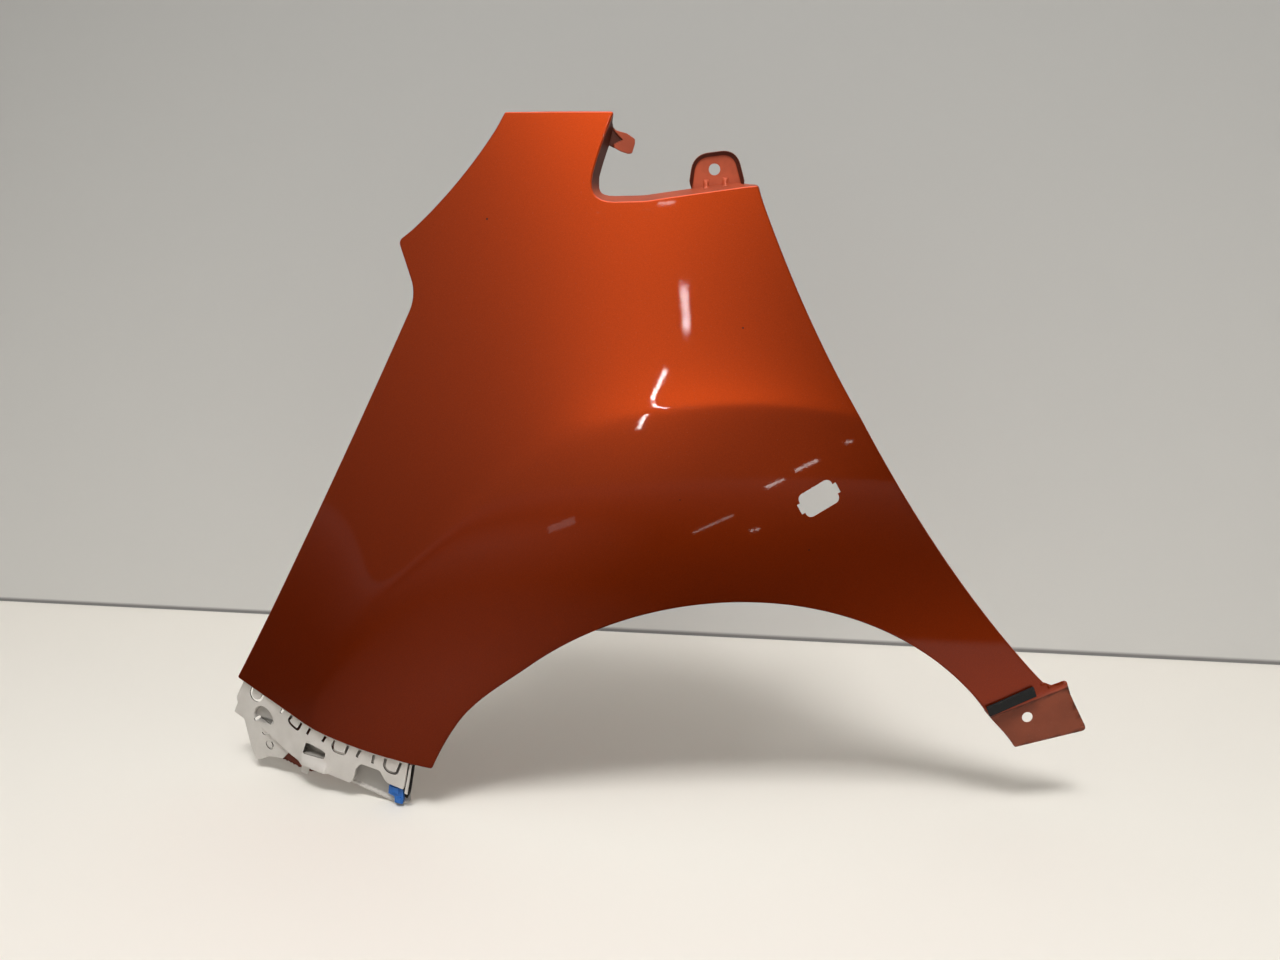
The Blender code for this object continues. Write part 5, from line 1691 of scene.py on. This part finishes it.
def build_stage():
    left, right = np.array(WALL_LEFT), np.array(WALL_RIGHT)
    run = (right - left) / math.dist(left, right)
    middle = (left + right) / 2.0
    start, end = middle - run * STAGE_REACH, middle + run * STAGE_REACH
    wall = [(*start, 0.0), (*end, 0.0), (*end, WALL_HEIGHT), (*start, WALL_HEIGHT)]
    stage_plane("wall", wall, wall_material())
    front = -STAGE_REACH
    floor = [(-STAGE_REACH, front, 0.0), (STAGE_REACH, front, 0.0), (*end, 0.0), (*start, 0.0)]
    stage_plane("floor", floor, floor_material())


# The even light on dull surfaces, and the room as shiny surfaces see it: its bright middle, and
# how it darkens away from there
AMBIENT = 0.41
AMBIENT_COLOUR = (1.0, 0.99, 0.97)
ROOM_CENTRE = (-25.0, 24.0)
ROOM_EDGE = (0.45, 1.0)
ROOM_GLOW = (0.015, 0.27)
ROOM_COLOUR = (1.0, 0.86, 0.66)


def ahead(azimuth, elevation):
    """Unit vector from the part towards an azimuth from straight in front and an elevation."""
    a, e = math.radians(azimuth), math.radians(elevation)
    return Vector((math.sin(a) * math.cos(e), -math.cos(a) * math.cos(e), math.sin(e)))


def build_world():
    world = bpy.data.worlds.new("studio")
    bpy.context.scene.world = world
    world.use_nodes = True
    tree = world.node_tree
    tree.nodes.clear()
    path = tree.nodes.new("ShaderNodeLightPath")
    ambient = node(tree, "ShaderNodeBackground", {"Color": AMBIENT_COLOUR, "Strength": AMBIENT})
    coords = tree.nodes.new("ShaderNodeTexCoord").outputs["Generated"]
    facing = vector_value(tree, "DOT_PRODUCT", coords, ahead(*ROOM_CENTRE))
    strength = spread(tree, facing, *ROOM_EDGE, *ROOM_GLOW)
    room = node(tree, "ShaderNodeBackground", {"Color": ROOM_COLOUR, "Strength": strength})
    surface = mixed_shader(tree, path.outputs["Is Glossy Ray"], ambient, room)
    node(tree, "ShaderNodeOutputWorld", {"Surface": surface})


# Lights: azimuth from straight in front, elevation, distance from the target, size and power.
# The second one lights the floor and wall, and shiny surfaces don't show it.
KEY_TARGET = Vector((0.0, 0.0, 0.45))
KEY_LIGHT = (-3.0, 61.0, 2.5, (2.0, 1.0), 13.5)
ROOM_LIGHT = (-6.0, 57.0, 3.0, (1.0, 0.7), 62.0)


def area_light(name, azimuth, elevation, distance, size, power):
    light = bpy.data.lights.new(name, "AREA")
    light.shape = "RECTANGLE"
    light.size, light.size_y = size
    light.energy = power
    obj = linked_object(name, light)
    away = ahead(azimuth, elevation)
    obj.location = KEY_TARGET + away * distance
    obj.rotation_mode = "QUATERNION"
    obj.rotation_quaternion = away.to_track_quat("Z", "Y")
    return obj


GLINT_COLOUR = (1.0, 0.98, 0.95)
# Narrow ceiling and window lights that shine in the clear coat, each given by the two places
# on the skin, (x, z), where the camera sees its ends, with its distance, width and strength
GLINTS = (
    ((-0.0730, 0.5744), (-0.0860, 0.5460), 8.0, 0.080, 42.0),
    ((-0.0918, 0.5322), (-0.0980, 0.5188), 8.0, 0.080, 42.0),
    ((0.0243, 0.4607), (0.0430, 0.4693), 0.3, 0.005, 7.0),
    ((0.0537, 0.4771), (0.0764, 0.4875), 0.3, 0.005, 7.0),
    ((0.1033, 0.5037), (0.1103, 0.5055), 0.3, 0.005, 5.0),
    ((-0.0459, 0.4163), (-0.0068, 0.4342), 0.3, 0.003, 3.0),
    ((0.0103, 0.4180), (0.0192, 0.4199), 0.3, 0.004, 4.0),
    ((-0.1894, 0.4169), (-0.1622, 0.4279), 0.3, 0.014, 0.9),
    ((-0.0800, 0.7362), (-0.0635, 0.7376), 0.3, 0.004, 7.0),
)
# Wide panels that shine only along rounded edges: azimuth, elevation, distance, size, strength
EDGE_PANELS = (
    (100.0, 12.0, 2.5, (1.4, 1.4), 0.35),
    (0.0, 84.0, 1.6, (1.6, 0.8), 2.5),
)
# The ceiling lamp in the middle: where the camera sees it, its distance, size and strength
LAMP_GLINT = ((-0.0540, 0.6450), 1.6, (0.046, 0.005), 62.0)


def mirrored_ray(x, z):
    """A place on the skin, and the direction in which the camera sees the room mirrored there."""
    place = Vector((x, float(skin_depth(x, z)), z))
    normal = Vector(surface_normals(skin_depth, np.array(x), np.array(z)))
    view = (place - CAMERA_PLACE).normalized()
    return place, view.reflect(normal)


def glint_material(strength):
    material = bpy.data.materials.new("glint_light")
    material.use_nodes = True
    tree = material.node_tree
    tree.nodes.clear()
    glow = node(tree, "ShaderNodeEmission", {"Color": GLINT_COLOUR, "Strength": strength})
    node(tree, "ShaderNodeOutputMaterial", {"Surface": glow.outputs[0]})
    return material


def glint_bar(middle_line, side, strength):
    a, b = middle_line
    corners = [tuple(a - side), tuple(a + side), tuple(b + side), tuple(b - side)]
    bar = stage_plane("glint", corners, glint_material(strength))
    bar.visible_camera = False
    bar.visible_diffuse = False
    bar.visible_shadow = False


def facing_panel(middle, away, size, strength):
    """A bright panel with its middle at a place, square to the direction away from the part."""
    across = away.cross(Vector((0.0, 0.0, 1.0))).normalized() * (size[0] / 2.0)
    up = across.cross(away).normalized() * (size[1] / 2.0)
    glint_bar((middle - up, middle + up), across, strength)


def build_glints():
    for start, end, distance, width, strength in GLINTS:
        (p0, r0), (p1, r1) = mirrored_ray(*start), mirrored_ray(*end)
        a = WHEEL_CENTRE + p0 + r0 * distance
        b = WHEEL_CENTRE + p1 + r1 * distance
        glint_bar((a, b), (b - a).cross(r0 + r1).normalized() * (width / 2.0), strength)
    place, distance, size, strength = LAMP_GLINT
    point, ray = mirrored_ray(*place)
    facing_panel(WHEEL_CENTRE + point + ray * distance, ray, size, strength)
    for azimuth, elevation, distance, size, strength in EDGE_PANELS:
        away = ahead(azimuth, elevation)
        facing_panel(KEY_TARGET + away * distance, away, size, strength)


def build_camera():
    data = bpy.data.cameras.new("camera")
    data.sensor_width = CAMERA_SENSOR
    data.lens = CAMERA_LENS
    camera = linked_object("camera", data)
    camera.location = WHEEL_CENTRE + CAMERA_PLACE
    camera.rotation_euler = (math.radians(90.0 - CAMERA_PITCH), 0.0, 0.0)
    bpy.context.scene.camera = camera


def build_pieces():
    paint = metallic_paint()
    thin = thin_paint()
    dress(fender_skin(), paint, "orange_paint", "fender_panel")
    dress(upper_tab(), thin, "orange_paint", "fender_panel")
    dress(finger_tab(), thin, "orange_paint", "fender_panel")
    for x in BEADS:
        dress(tab_bead(x), thin, "orange_paint", "fender_panel")
    dress(foam_strip(), foam_material(), "black_foam", "foam_strip")
    dress(steel_strap(), thin, "primer_paint", "steel_strap")

    plastic = moulded_plastic("light_grey_plastic", *GREY_PLASTIC, 0.45)
    end_plate = prism("bracket_end_plate", END_PLATE, END_PLATE_SETBACK, END_PLATE_BEVEL)
    foot_tab = prism("bracket_foot_tab", FOOT_TAB, FOOT_TAB_SETBACK, FOOT_TAB_BEVEL)
    backing = prism("bracket_backing", BACKING, BACKING_SETBACK, BACKING_BEVEL)
    for piece in (bracket_wall(), rear_wall(), end_plate, foot_tab, backing, *bracket_ribs()):
        dress(piece, plastic, "grey_plastic", "bumper_side_bracket")
    # Darker plastic, painted as the shade inside the window's pocket
    pocket_shade = moulded_plastic("pocket_shade_plastic", *POCKET_SHADE_PLASTIC, 0.5)
    dress(window_pocket(), pocket_shade, "grey_plastic", "bumper_side_bracket")
    blue = moulded_plastic("blue_nylon", *BLUE_NYLON, 0.35)
    for name, places, setbacks in (
        ("clip_body", CLIP_BODY, CLIP_BODY_SETBACK),
        ("clip_latch", CLIP_LATCH, CLIP_DETAIL_SETBACK),
        ("clip_tail", CLIP_TAIL, CLIP_DETAIL_SETBACK),
    ):
        dress(prism(name, places, setbacks, CLIP_BEVEL), blue, "blue_plastic", "blue_clip")
    dark = metal("phosphated_steel", *DARK_STEEL, 0.40)
    for leg in (*NUT_LEGS, NUT_FOOT):
        dress(prism("nut_leg", leg, NUT_SETBACK, NUT_BEVEL), dark, "dark_steel", "clip_nut")

    zinc = metal("zinc_plate", *ZINC, 0.30)
    for name in ("bracket_screw_front", "bracket_screw_rear"):
        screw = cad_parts[name]
        screw.data.materials.clear()
        screw.data.materials.append(zinc)


build_pieces()
build_stage()
build_world()
area_light("key_light", *KEY_LIGHT)
area_light("room_light", *ROOM_LIGHT).visible_glossy = False
build_glints()
build_camera()
bpy.context.scene.view_settings.view_transform = "Standard"
